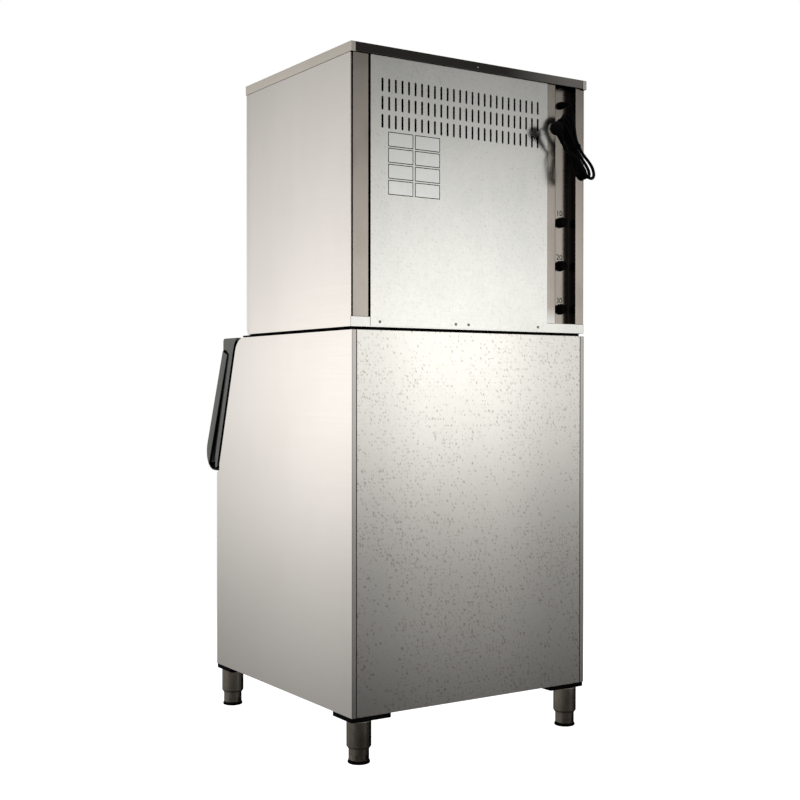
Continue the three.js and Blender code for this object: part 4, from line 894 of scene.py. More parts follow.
class Assembly:
    """What every sub-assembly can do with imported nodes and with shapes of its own."""

    def dress(self, finish: Finish, *nodes: str) -> None:
        """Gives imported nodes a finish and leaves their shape.

        Args:
            finish: The finish.
            *nodes: The nodes' names.
        """
        for node in nodes:
            item = frame["nodes"][node]
            if item.material_slots:
                for held in item.material_slots:
                    held.material = finish.material()
            else:
                item.data.materials.append(finish.material())
            log.info("%s wears %s", node, finish.name)

    def soften(self, finish: Finish, radius: float, *nodes: str,
               segments: int = 2) -> List[bpy.types.Object]:
        """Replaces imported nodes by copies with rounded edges.

        Args:
            finish: The copies' finish.
            radius: The radius of their edges in millimetres.
            *nodes: The nodes' names.
            segments: How many steps each round has.

        Returns:
            The copies.
        """
        made = []
        for node in nodes:
            source = frame["nodes"][node]
            mesh = source.data.copy()
            bare = bmesh.new()
            bare.from_mesh(mesh)
            bmesh.ops.remove_doubles(bare, verts=bare.verts, dist=WELD)
            bmesh.ops.dissolve_limit(bare, angle_limit=FLAT, verts=bare.verts, edges=bare.edges)
            bare.to_mesh(mesh)
            bare.free()
            if mesh.attributes.get("custom_normal"):
                mesh.attributes.remove(mesh.attributes["custom_normal"])
            item = link_object(f"{node}_finished", mesh)
            round_edges(item, radius, segments)
            self.settle(wear(item, finish), source["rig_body"], node)
            made.append(item)
        return made

    def piece(self, name: str, shape: Shape, finish: Finish, *nodes: str, at: Matrix = HERE,
              body: str = "machine", edge: float = 0.0) -> bpy.types.Object:
        """Makes a finished piece from a shape.

        Args:
            name: The piece's name.
            shape: The shape, which is used up.
            finish: Its finish.
            *nodes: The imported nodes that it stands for.
            at: Its place, in metres.
            body: The body that it rides on.
            edge: The radius of its edges in millimetres, or 0 to leave them.

        Returns:
            The piece.
        """
        item = turned(name, shape, at)
        if edge:
            round_edges(item, edge)
        return self.settle(wear(item, finish), body, *nodes)

    def settle(self, item: bpy.types.Object, body: str, *nodes: str) -> bpy.types.Object:
        """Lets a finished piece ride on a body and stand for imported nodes.

        Args:
            item: The piece.
            body: The body's name.
            *nodes: The nodes that it stands for.

        Returns:
            The piece.
        """
        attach(item, body)
        if nodes:
            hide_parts(*nodes)
        log.info("%s rides on %s", item.name, body)
        return item


def bridge(shape: Shape, rows: Sequence[Sequence[bmesh.types.BMVert]]) -> None:
    """Joins each ring of vertices to the next one with quads.

    Args:
        shape: The shape that holds the rings.
        rows: The rings, with as many vertices each.
    """
    for lower, upper in zip(rows, rows[1:]):
        for k in range(len(lower)):
            after = (k + 1) % len(lower)
            shape.faces.new((lower[k], lower[after], upper[after], upper[k]))


def circle(radius: float, height: float, steps: int) -> List[Vector]:
    """A ring of points round the z axis."""
    turns = [math.tau * k / steps for k in range(steps)]
    return [Vector((radius * math.cos(turn), radius * math.sin(turn), height)) for turn in turns]


def loft(rings: Sequence[Sequence[Vector]], unit: float = 1.0) -> Shape:
    """A closed shape through rings of as many points each.

    Args:
        rings: The rings, of which the first and the last are closed by a face.
        unit: What one step of the points is, in metres.

    Returns:
        The shape, in metres.
    """
    shape = bmesh.new()
    rows = [[shape.verts.new(point * unit) for point in ring] for ring in rings]
    bridge(shape, rows)
    shape.faces.new(list(reversed(rows[0])))
    shape.faces.new(rows[-1])
    bmesh.ops.recalc_face_normals(shape, faces=shape.faces)
    return shape


def spin(profile: Sequence[Tuple[float, float]], segments: int = 64) -> Shape:
    """Turns a closed profile of (radius, height) round the z axis.

    Args:
        profile: The points from the lower end of the axis to the upper, in millimetres.
        segments: How many steps the turn has.

    Returns:
        The turned shape, closed, in metres.
    """
    shape = bmesh.new()
    rings = [[shape.verts.new(point * MILLIMETRE)
              for point in circle(radius, height, segments if radius else 1)]
             for radius, height in profile]
    for lower, upper in zip(rings, rings[1:]):
        if len(lower) == len(upper) == segments:
            bridge(shape, (lower, upper))
        elif len(upper) == segments:
            for k in range(segments):
                shape.faces.new((lower[0], upper[(k + 1) % segments], upper[k]))
        elif len(lower) == segments:
            for k in range(segments):
                shape.faces.new((lower[k], lower[(k + 1) % segments], upper[0]))
    bmesh.ops.recalc_face_normals(shape, faces=shape.faces)
    return shape


def turned(name: str, shape: Shape, matrix: Matrix = HERE) -> bpy.types.Object:
    """Makes an object from a shape and puts it in place.

    Args:
        name: The object's name.
        shape: The shape, which is used up.
        matrix: Its place, in metres.

    Returns:
        The object.
    """
    shape.transform(matrix)
    mesh = bpy.data.meshes.new(name)
    shape.to_mesh(mesh)
    shape.free()
    return link_object(name, mesh)


def placed(shape: Shape, matrix: Matrix) -> Shape:
    """Moves a shape and returns it."""
    shape.transform(matrix)
    return shape


def gather(shapes: Sequence[Shape]) -> Shape:
    """Puts several closed shapes, which are used up, into one.

    Args:
        shapes: The shapes, in metres.

    Returns:
        The one shape.
    """
    whole = bmesh.new()
    for shape in shapes:
        mesh = bpy.data.meshes.new("part")
        shape.to_mesh(mesh)
        shape.free()
        whole.from_mesh(mesh)
        bpy.data.meshes.remove(mesh)
    return whole


def block(x0: float, x1: float, y0: float, y1: float, z0: float, z1: float) -> Shape:
    """A box between two corners in machine coordinates, ready in metres.

    Args:
        x0: Its left face.
        x1: Its right face.
        y0: Its front face.
        y1: Its rear face.
        z0: Its lower face.
        z1: Its upper face.

    Returns:
        The box.
    """
    low, high = place(x0, y0, z0), place(x1, y1, z1)
    shape = bmesh.new()
    bmesh.ops.create_cube(shape, size=1.0)
    return placed(shape, Matrix.Translation((low + high) / 2) @ Matrix.Diagonal((*(high - low), 1.0)))


def prism(x0: float, x1: float, section: Sequence[Tuple[float, float]]) -> Shape:
    """A closed section of (y, z) points pulled along x in machine coordinates, ready in metres."""
    return loft([[place(x, y, z) for y, z in section] for x in (x0, x1)])


def facing_rear(x: float, y: float, z: float) -> Matrix:
    """The place of a turned shape whose axis points to the rear from a point."""
    return Matrix.Translation(place(x, y, z)) @ Matrix.Rotation(math.radians(-90), 4, "X")


@dataclass
class RepeatTree:
    """A Geometry Nodes tree that repeats one head on the points of a mesh."""

    name: str

    def tree(self) -> bpy.types.NodeTree:
        """Builds the tree, or gives the one that was built before.

        Returns:
            The tree.
        """
        found = bpy.data.node_groups.get(self.name)
        if found:
            return found
        tree = bpy.data.node_groups.new(self.name, "GeometryNodeTree")
        for label, kind in (("Geometry", "Geometry"), ("Head", "Object"), ("Diameter", "Float"),
                            ("Height", "Float"), ("Facing", "Vector"), ("Turn Seed", "Int"),
                            ("Finish", "Material")):
            tree.interface.new_socket(label, in_out="INPUT", socket_type=f"NodeSocket{kind}")
        tree.interface.new_socket("Geometry", in_out="OUTPUT", socket_type="NodeSocketGeometry")
        graph = Graph(tree)
        given, result = graph.add("NodeGroupInput"), graph.add("NodeGroupOutput")
        head = graph.add("GeometryNodeObjectInfo", {"Object": given.outputs["Head"]})
        wide = given.outputs["Diameter"]
        size = graph.add("ShaderNodeCombineXYZ", {0: wide, 1: wide, 2: given.outputs["Height"]})
        spread = graph.add("GeometryNodeInstanceOnPoints", {
            "Points": given.outputs["Geometry"], "Instance": head.outputs["Geometry"],
            "Scale": size.outputs[0], "Rotation": given.outputs["Facing"]})
        turn = graph.add("FunctionNodeRandomValue", data_type="FLOAT")
        graph.fill(turn, {2: 0.0, 3: math.tau, "Seed": given.outputs["Turn Seed"]})
        about = graph.add("ShaderNodeCombineXYZ", {2: turn.outputs[1]})
        rolled = graph.add("GeometryNodeRotateInstances", {"Instances": spread.outputs[0],
                                                           "Rotation": about.outputs[0]})
        real = graph.add("GeometryNodeRealizeInstances", {0: rolled.outputs[0]})
        coat = graph.add("GeometryNodeSetMaterial", {"Geometry": real.outputs[0],
                                                     "Material": given.outputs["Finish"]})
        graph.feed(result.inputs[0], coat.outputs[0])
        return tree

    def scatter(self, name: str, points: Sequence[Vector], head: bpy.types.Object, diameter: float,
                height: float, facing: Point, finish: Finish, seed: int = 3) -> bpy.types.Object:
        """Repeats a head on points and gives the result as a plain mesh.

        Args:
            name: The new piece's name.
            points: Where the heads stand, in metres.
            head: The head, of unit size.
            diameter: The heads' diameter in millimetres.
            height: Their height in millimetres.
            facing: The turn from upright, in degrees about x, y and z.
            finish: Their finish.
            seed: The seed of each head's own turn.

        Returns:
            The piece.
        """
        mesh = bpy.data.meshes.new(name)
        mesh.from_pydata([tuple(point) for point in points], [], [])
        item = link_object(name, mesh)
        modifier = item.modifiers.new("repeat", "NODES")
        modifier.node_group = self.tree()
        values = {"Head": head, "Diameter": diameter * MILLIMETRE, "Height": height * MILLIMETRE,
                  "Facing": [math.radians(part) for part in facing], "Turn Seed": seed,
                  "Finish": finish.material()}
        for socket in modifier.node_group.interface.items_tree:
            if socket.in_out == "INPUT" and socket.name in values:
                modifier[socket.identifier] = values[socket.name]
        bake_modifiers(item)
        shade_smooth(item, SHARP + SHARP_MARGIN)
        return item


@dataclass
class ScrewKind:
    """A pan-head screw of unit diameter and height, with a cross recess."""

    name: str = "pan_head_master"
    recess: float = 0.55
    steps: int = 16
    web: float = 0.35
    dip: float = 0.96
    taper: float = 0.7
    profile: Tuple[Tuple[float, float], ...] = (
        (0.5, 0.0), (0.5, 0.35), (0.44, 0.72), (0.32, 0.93), (0.2, 1.0))

    def master(self) -> bpy.types.Object:
        """The head that the repeating tree places, hidden and not part of the object.

        Returns:
            The head.
        """
        found = bpy.data.objects.get(self.name)
        if found:
            return found
        rings = [circle(radius, height, self.steps) for radius, height in self.profile]
        spokes = [1.0 if k % 4 == 0 else self.web for k in range(self.steps)]
        inner = [Vector((point.x * share, point.y * share, 1.0 if share == 1.0 else self.dip))
                 for share, point in zip(spokes, rings[-1])]
        floor = [Vector((point.x * self.taper, point.y * self.taper, 1.0 - self.recess))
                 for point in inner]
        item = turned(self.name, loft([*rings, inner, floor]))
        item.hide_render = True
        item.hide_viewport = True
        return item


REPEAT = RepeatTree("repeat_on_points")
SCREW = ScrewKind()


@dataclass
class Studio:
    """The floor, the light and the camera.

    The world's grey follows the height of a reflected direction: rear_levels for what the machine's
    rear mirrors and side_levels for its side. edge_levels dims both towards the rear's far edge, and
    each shade dims the directions round its axis: (axis, where it starts, where it is full, how dim).
    """

    eye: Point = (2.01714, 3.15511, 0.93737)
    ahead: Point = (-0.546642, -0.837329, -0.007874)
    across: Point = (-0.837359, 0.546654, 0.000797)
    upward: Point = (-0.003637, -0.007029, 0.999969)
    lens: float = 57.88
    sensor: float = 36.0
    floor_reach: float = 9.0
    floor_tones: Tuple[Colour, Colour] = ((0.55, 0.55, 0.545), (0.60, 0.60, 0.595))
    floor_grain: float = 14.0
    floor_fade: Tuple[float, float] = (0.9, 2.2)
    floor_shadow: float = 0.84
    lamps: Tuple[Tuple[str, Point, float, float], ...] = (
        ("key", (3.4, 3.2, 3.6), 2.6, 25.0), ("fill", (-3.6, 3.0, 2.4), 3.0, 10.0),
        ("front", (1.6, -4.0, 2.8), 3.0, 20.0))
    lamp_aim: Point = (0.0, 0.0, 0.9)
    ambient: float = 0.55
    glare: float = 2.2
    blend_reach: float = 0.7
    side_axis: Point = (0.547, -0.837, 0.0)
    edge_axis: Point = (0.837, 0.547, 0.0)
    shades: Tuple[Tuple[Point, float, float, float], ...] = (
        ((0.547, 0.837, 0.0), 0.55, 0.85, 0.75), ((-0.928, -0.372, 0.0), 0.70, 0.92, 0.08))
    rear_levels: Tuple[Tuple[float, float], ...] = (
        (-1, .015), (-.30, .035), (-.245, .042), (-.233, .042), (-.218, .088), (-.202, .156),
        (-.179, .174), (-.148, .190), (-.117, .234), (-.0855, .385), (-.054, .575), (-.023, .787),
        (.008, .93), (.035, .94), (.062, .94), (.078, .92), (.101, .83), (.124, .693), (.148, .565),
        (.179, .385), (.241, .158), (.30, .115), (.55, .10), (1, .28))
    side_levels: Tuple[Tuple[float, float], ...] = (
        (-1, .053), (-.30, .147), (-.2255, .213), (-.21, .253), (-.179, .307), (-.148, .367),
        (-.117, .453), (-.0855, .54), (-.054, .605), (-.023, .675), (.008, .69), (.035, .69),
        (.058, .63), (.078, .587), (.101, .56), (.124, .52), (.148, .487), (.194, .42), (.241, .333),
        (.30, .253), (.55, .187), (1, .333))
    edge_levels: Tuple[Tuple[float, float], ...] = (
        (-1, .40), (-.20, .45), (-.15, .53), (-.124, .63), (-.10, .81), (-.078, .93), (-.05, 1.0),
        (0, .93), (.0156, .80), (.03, .74), (.10, .65), (1, .55))

    def build(self) -> None:
        """Sets the camera, the world, the lamps and the floor, in that order."""
        bpy.context.scene.view_settings.view_transform = "Standard"
        self._camera()
        self._world()
        self._lamps()
        self._floor()

    def _camera(self) -> None:
        """A camera at the photograph's place."""
        data = bpy.data.cameras.new("camera")
        data.lens = self.lens
        data.sensor_width = self.sensor
        camera = link_object("camera", data)
        axes = Matrix((self.across, self.upward, [-part for part in self.ahead])).transposed().to_4x4()
        camera.matrix_world = Matrix.Translation(self.eye) @ axes
        bpy.context.scene.camera = camera
        log.info("camera at %s", self.eye)

    @staticmethod
    def _ramp(graph: Graph, height: Value, stops: Sequence[Tuple[float, float]]) -> Socket:
        """A grey level that follows the height of a direction.

        Args:
            graph: The world's graph.
            height: The height, from -1 straight down to 1 straight up.
            stops: Heights and the levels there.

        Returns:
            The level's socket.
        """
        ramp = graph.add("ShaderNodeValToRGB", {0: graph.span(height, -1.0, 1.0)})
        band = ramp.color_ramp
        band.interpolation = "LINEAR"
        while len(band.elements) < len(stops):
            band.elements.new(0.5)
        for element, (where, level) in zip(band.elements, stops):
            element.position = (where + 1) / 2
            element.color = (level, level, level, 1.0)
        return ramp.outputs[0]

    def _world(self) -> None:
        """A white backdrop, brightest at eye level, with the studio darker above and below it."""
        world = bpy.data.worlds.new("studio")
        bpy.context.scene.world = world
        graph = fresh_graph(world)
        direction = graph.add("ShaderNodeTexCoord").outputs["Generated"]
        height = graph.split(direction)[2]
        rear = self._ramp(graph, height, self.rear_levels)
        side = self._ramp(graph, height, self.side_levels)
        sideways, edgeways = (graph.vector("DOT_PRODUCT", direction, axis)
                              for axis in (self.side_axis, self.edge_axis))
        share = graph.span(sideways, -self.blend_reach, self.blend_reach, smooth=True)
        edge = self._ramp(graph, edgeways, self.edge_levels)
        dim = [graph.span(graph.vector("DOT_PRODUCT", direction, axis), start, full, 1.0, level)
               for axis, start, full, level in self.shades]
        level = graph.times(graph.blend(share, rear, side), edge, graph.times(*dim, self.glare))
        path = graph.add("ShaderNodeLightPath")
        mirrored = graph.most(path.outputs["Is Glossy Ray"], path.outputs["Is Transmission Ray"])
        seen = graph.blend(mirrored, (self.ambient,) * 3, level)
        seen = graph.blend(path.outputs["Is Camera Ray"], seen, (1, 1, 1))
        background = graph.add("ShaderNodeBackground", {0: seen})
        graph.add("ShaderNodeOutputWorld", {0: background.outputs[0]})

    def _lamps(self) -> None:
        """Three large soft lamps that metal doesn't mirror."""
        for name, spot, size, power in self.lamps:
            data = bpy.data.lights.new(name, "AREA")
            data.energy = power
            data.size = size
            lamp = link_object(name, data)
            lamp.location = spot
            aim = Vector(self.lamp_aim) - Vector(spot)
            lamp.rotation_euler = aim.to_track_quat("-Z", "Y").to_euler()
            lamp.visible_glossy = False

    def _floor(self) -> None:
        """A pale floor that is white to the camera and keeps a faint shadow."""
        shape = bmesh.new()
        bmesh.ops.create_circle(shape, cap_ends=True, segments=96, radius=self.floor_reach)
        floor = turned("floor", shape)
        material = bpy.data.materials.new("pale_floor")
        graph = fresh_graph(material)
        path = graph.add("ShaderNodeLightPath")
        where = graph.add("ShaderNodeTexCoord").outputs["Object"]
        tone = graph.blend(graph.noise(where, self.floor_grain, 3.0), *self.floor_tones)
        paint = graph.add("ShaderNodeBsdfDiffuse", {0: tone})
        far = graph.span(graph.vector("LENGTH", where), *self.floor_fade, self.floor_shadow, 1.0,
                         smooth=True)
        glow = graph.add("ShaderNodeEmission", {1: graph.math("DIVIDE", 1.0, graph.times(far, far))})
        mixed = graph.add("ShaderNodeMixShader", {0: graph.times(path.outputs["Is Camera Ray"], far),
                                                  1: paint.outputs[0], 2: glow.outputs[0]})
        graph.add("ShaderNodeOutputMaterial", {0: mixed.outputs[0]})
        floor.data.materials.append(material)
        floor.visible_glossy = False


def smooth_line(points: Sequence[Vector], steps: int) -> List[Vector]:
    """Samples a centripetal Catmull-Rom curve through points.

    Args:
        points: The points that the curve goes through.
        steps: How many samples each stretch between two points gets.

    Returns:
        The samples, both ends included.
    """
    ends = [2 * points[0] - points[1], *points, 2 * points[-1] - points[-2]]
    line: List[Vector] = []
    for p0, p1, p2, p3 in zip(ends, ends[1:], ends[2:], ends[3:]):
        d0, d1, d2 = (max((b - a).length, 1e-9) ** 0.5 for a, b in ((p0, p1), (p1, p2), (p2, p3)))
        m1 = ((p1 - p0) / d0 - (p2 - p0) / (d0 + d1) + (p2 - p1) / d1) * d1
        m2 = ((p2 - p1) / d1 - (p3 - p1) / (d1 + d2) + (p3 - p2) / d2) * d1
        for k in range(steps):
            t = k / steps
            line.append(p1 * (2 * t ** 3 - 3 * t ** 2 + 1) + m1 * (t ** 3 - 2 * t ** 2 + t)
                        + p2 * (3 * t ** 2 - 2 * t ** 3) + m2 * (t ** 3 - t ** 2))
    line.append(points[-1].copy())
    return line


@dataclass
class SupplyCord(Assembly):
    """The mains cord: a lead from the gland, a hank tied at its waist, and an angled plug."""

    diameter: float = 8.5
    loops: int = 4
    half_run: float = 68.0
    folds: Tuple[float, ...] = (18.0, 18.0, 20.0, 28.0)
    waist: float = 4.9
    tied: float = 9.0
    pitch: float = 9.5
    run_steps: int = 8
    fold_steps: int = 4
    line_steps: int = 8
    round_steps: int = 5
    gland: Point = (-316.8, 0.0, 1728.0)
    gland_tip: float = -1.7
    lead_start: float = 5.0
    entry_gap: float = 0.3
    tail_lean: float = 0.3
    hank_top: Point = (39.8, 20.0, -46.0)
    hank_low: Point = (-21.2, 60.0, -213.0)
    hank_facing: Point = (-0.957, -0.289, 0.0)
    route: Tuple[Point, ...] = (
        (-1.2, 9, -2.5), (-3.7, 16.5, -12), (-5.7, 19, -27), (-7.2, 17.5, -45),
        (-7.7, 14, -63), (-4.7, 10.5, -80), (2.3, 10.5, -96), (9.8, 15.5, -111))
    plug_place: Point = (76.8, 51.0, -84.0)
    plug_facing: Point = (-0.139, -0.944, 0.3)
    plug_leaving: Point = (-0.583, -0.167, -0.795)
    plug_diameter: float = 37.0
    plug_thickness: float = 21.0
    plug_relief: float = 28.0
    pin_spacing: float = 19.0
    pin_diameter: float = 4.8
    pin_reach: float = 19.0
    finger_ribs: int = 14
    finger_rib: Point = (0.9, 1.6, 10.0)
    relief_ribs: int = 6
    band: float = 7.0
    band_thickness: float = 1.3
    band_gap: float = 1.1
    band_steps: int = 72
    band_square: float = 0.55
    plug_edge: float = 0.5
    pin_edge: float = 0.2
    band_edge: float = 0.3
    axes: Dict[str, Vector] = field(default_factory=dict)

    def build(self) -> None:
        """Builds the plug, its pins and the tie, then the cord that carries them."""
        self._find_axes()
        line = [place(*point) for point in smooth_line(self._route_points(), self.line_steps)]
        plug = self._plug()
        pins = self._pins()
        tie = self._tie()
        data = bpy.data.curves.new("mains_cord", "CURVE")
        data.dimensions = "3D"
        data.bevel_depth = self.diameter / 2 * MILLIMETRE
        data.bevel_resolution = self.round_steps
        data.use_fill_caps = True
        spline = data.splines.new("POLY")
        spline.points.add(len(line) - 1)
        for held, point in zip(spline.points, line):
            held.co = (*point, 1.0)
        data.materials.append(CORD_SHEATH.material())
        cord = link_object("mains_cord", data)
        self.settle(cord, "machine", "supply_cord", "cord_hank", "plug_lead")

    def _from_gland(self, offset: Point) -> Vector:
        """A point measured from the gland, in machine coordinates."""
        return Vector(self.gland) + Vector(offset)

    def _find_axes(self) -> None:
        """Finds the hank's and the plug's own directions."""
        top, low = self._from_gland(self.hank_top), self._from_gland(self.hank_low)
        along = (low - top).normalized()
        facing = Vector(self.hank_facing)
        across = (facing - along * facing.dot(along)).normalized()
        stack = along.cross(across).normalized()
        if stack.y < 0:
            stack.negate()
        points_at = Vector(self.plug_facing).normalized()
        leaving = Vector(self.plug_leaving)
        leaving = (leaving - points_at * leaving.dot(points_at)).normalized()
        self.axes = {"centre": (top + low) / 2, "along": along, "across": across, "stack": stack,
                     "facing": points_at, "leaving": leaving}

    def _hank_point(self, along: float, across: float, layer: float) -> Vector:
        """A point of the hank from its place along, across and through the stack of loops."""
        return (self.axes["centre"] + self.axes["along"] * along + self.axes["across"] * across
                + self.axes["stack"] * ((layer - (self.loops - 1) / 2) * self.pitch))

    def _width(self, along: float, loop: int) -> float:
        """Half the width between a loop's two runs, drawn in at the waist."""
        free = max(0.0, abs(along) - self.tied) / (self.half_run - self.tied)
        return self.folds[loop] - (self.folds[loop] - self.waist) * math.cos(math.pi * free / 2) ** 2

    def _hank_points(self) -> List[Vector]:
        """The hank's centre line, from its waist to just past the last lower fold.

        Returns:
            The line's points, in machine coordinates.
        """
        points: List[Vector] = []
        run, half = self.run_steps, self.half_run
        for loop in range(self.loops):
            fold = self.folds[loop]
            start = 0.0 if loop == 0 else -half
            for k in range(run):
                along = start + (half - start) * k / run
                points.append(self._hank_point(along, self._width(along, loop), loop))
            for k in range(self.fold_steps):
                turn = math.pi * k / self.fold_steps
                along, across = half + fold * math.sin(turn), fold * math.cos(turn)
                points.append(self._hank_point(along, across, loop))
            if loop == self.loops - 1:
                points.append(self._hank_point(half, -fold, loop))
                points.append(self._hank_point(half - self.diameter, -fold, loop))
                break
            for k in range(run):
                along = half * (1 - 2 * k / run)
                layer = loop + (1 - math.cos(math.pi * k / run)) / 2
                points.append(self._hank_point(along, -self._width(along, loop), layer))
            for k in range(self.fold_steps):
                turn = math.pi * k / self.fold_steps
                wide = fold + (self.folds[loop + 1] - fold) * (1 - math.cos(turn)) / 2
                along, across = -half - wide * math.sin(turn), -wide * math.cos(turn)
                points.append(self._hank_point(along, across, loop + 1))
        return points

    def _route_points(self) -> List[Vector]:
        """The whole route: lead, hank and the short tail to the plug.

        Returns:
            The route's points, in machine coordinates.
        """
        loops = self._hank_points()
        first, last = loops[0], loops[-1]
        lead = [self._from_gland(offset) for offset in
                ((0, self.gland_tip, 0), (0, self.gland_tip + self.lead_start, 0), *self.route)]
        lead.append(first - self.axes["along"] * self.diameter)
        rise = (loops[-1] - loops[-2]).normalized()
        leaving = self.axes["leaving"]
        reach = self.plug_diameter / 2 + self.plug_relief + self.entry_gap
        entry = self._from_gland(self.plug_place) + leaving * reach
        thick = self.diameter
        tail = [last + rise * thick, (last + rise * 2 * thick).lerp(entry, self.tail_lean),
                entry + leaving * 2 * thick, entry + leaving * thick, entry]
        return [*lead, *loops, *tail]

    def _plug_matrix(self) -> Matrix:
        """The plug's place: x along the leaving lead, z towards its pins.

        Returns:
            The place, in metres.
        """
        leaving, facing = self.axes["leaving"], self.axes["facing"]
        turn = Matrix((leaving, facing.cross(leaving), facing)).transposed().to_4x4()
        return Matrix.Translation(place(*self._from_gland(self.plug_place))) @ turn

    def _plug(self) -> bpy.types.Object:
        """The plug's moulding: a round head, a ribbed relief and finger ribs round the rim.

        Returns:
            The piece.
        """
        radius, half = self.plug_diameter / 2, self.plug_thickness / 2
        reach = radius + self.plug_relief
        thin = self.diameter / 2 + 1.2
        head = spin([(0, -half), (radius - 7, -half), (radius - 3, -half + 1.2),
                     (radius - 0.6, -half + 4.2), (radius, -half + 6.5), (radius, half - 3),
                     (radius - 1.2, half - 0.8), (radius - 3, half), (0, half)], 56)
        start, step = radius - 8, (reach - radius - 6) / self.relief_ribs
        profile: List[Tuple[float, float]] = [(0, start), (half - 1.5, start), (half - 2, radius + 2)]
        for k in range(self.relief_ribs):
            at = radius + 4 + step * k
            wide = half - 2.2 + (thin - half + 2.2) * (at - radius) / (reach - radius)
            profile += [(wide, at), (wide, at + step * 0.55), (wide - 1.1, at + step * 0.6),
                        (wide - 1.1, at + step * 0.95)]
        profile += [(thin, reach - 1), (thin - 0.4, reach), (0, reach)]
        parts = [head, placed(spin(profile, 36), Matrix.Rotation(math.radians(90), 4, "Y"))]
        size = Matrix.Diagonal((*(Vector(self.finger_rib) * MILLIMETRE), 1.0))
        at_rim = Matrix.Translation((radius * MILLIMETRE, 0, 0.0006))
        for k in range(2, self.finger_ribs - 1):
            rib = bmesh.new()
            bmesh.ops.create_cube(rib, size=1.0)
            turn = Matrix.Rotation(math.tau * k / self.finger_ribs, 4, "Z")
            parts.append(placed(rib, turn @ at_rim @ size))
        return self.piece("plug_moulding", gather(parts), CORD_SHEATH, "cord_plug",
                          at=self._plug_matrix(), edge=self.plug_edge)

    def _pins(self) -> bpy.types.Object:
        """The plug's two round pins, with a domed end.

        Returns:
            The piece.
        """
        radius, half, reach = self.pin_diameter / 2, self.plug_thickness / 2, self.pin_reach
        profile = [(0, -2), (radius, -2), (radius, reach - 1.6), (radius * 0.8, reach - 0.5),
                   (radius * 0.4, reach), (0, reach)]
        pins = [placed(spin(profile, 24),
                       Matrix.Translation(Vector((0, side * self.pin_spacing / 2, half)) * MILLIMETRE))
                for side in (-1, 1)]
        return self.piece("plug_pins", gather(pins), NICKEL, at=self._plug_matrix(), edge=self.pin_edge)

    def _tie(self) -> bpy.types.Object:
        """A soft black band round the hank's waist.

        Returns:
            The piece.
        """
        wide = self.waist + self.diameter / 2 + self.band_gap
        deep = (self.loops - 1) / 2 * self.pitch + self.diameter / 2 + self.band_gap
        half = self.band / 2
        section = ((-half, 0.0), (half, 0.0), (half, self.band_thickness), (-half, self.band_thickness))
        shape = bmesh.new()
        rows: List[List[bmesh.types.BMVert]] = []
        centre, along, across, stack = (self.axes[key]
                                        for key in ("centre", "along", "across", "stack"))
        for k in range(self.band_steps):
            turn = math.tau * k / self.band_steps
            a, b = (math.copysign(abs(part) ** self.band_square, part)
                    for part in (math.cos(turn), math.sin(turn)))
            rows.append([shape.verts.new(place(*(
                centre + along * offset + across * (a * (wide + out)) + stack * (b * (deep + out)))))
                for offset, out in section])
        bridge(shape, [*rows, rows[0]])
        bmesh.ops.recalc_face_normals(shape, faces=shape.faces)
        return self.piece("hank_tie", shape, RUBBER, edge=self.band_edge)


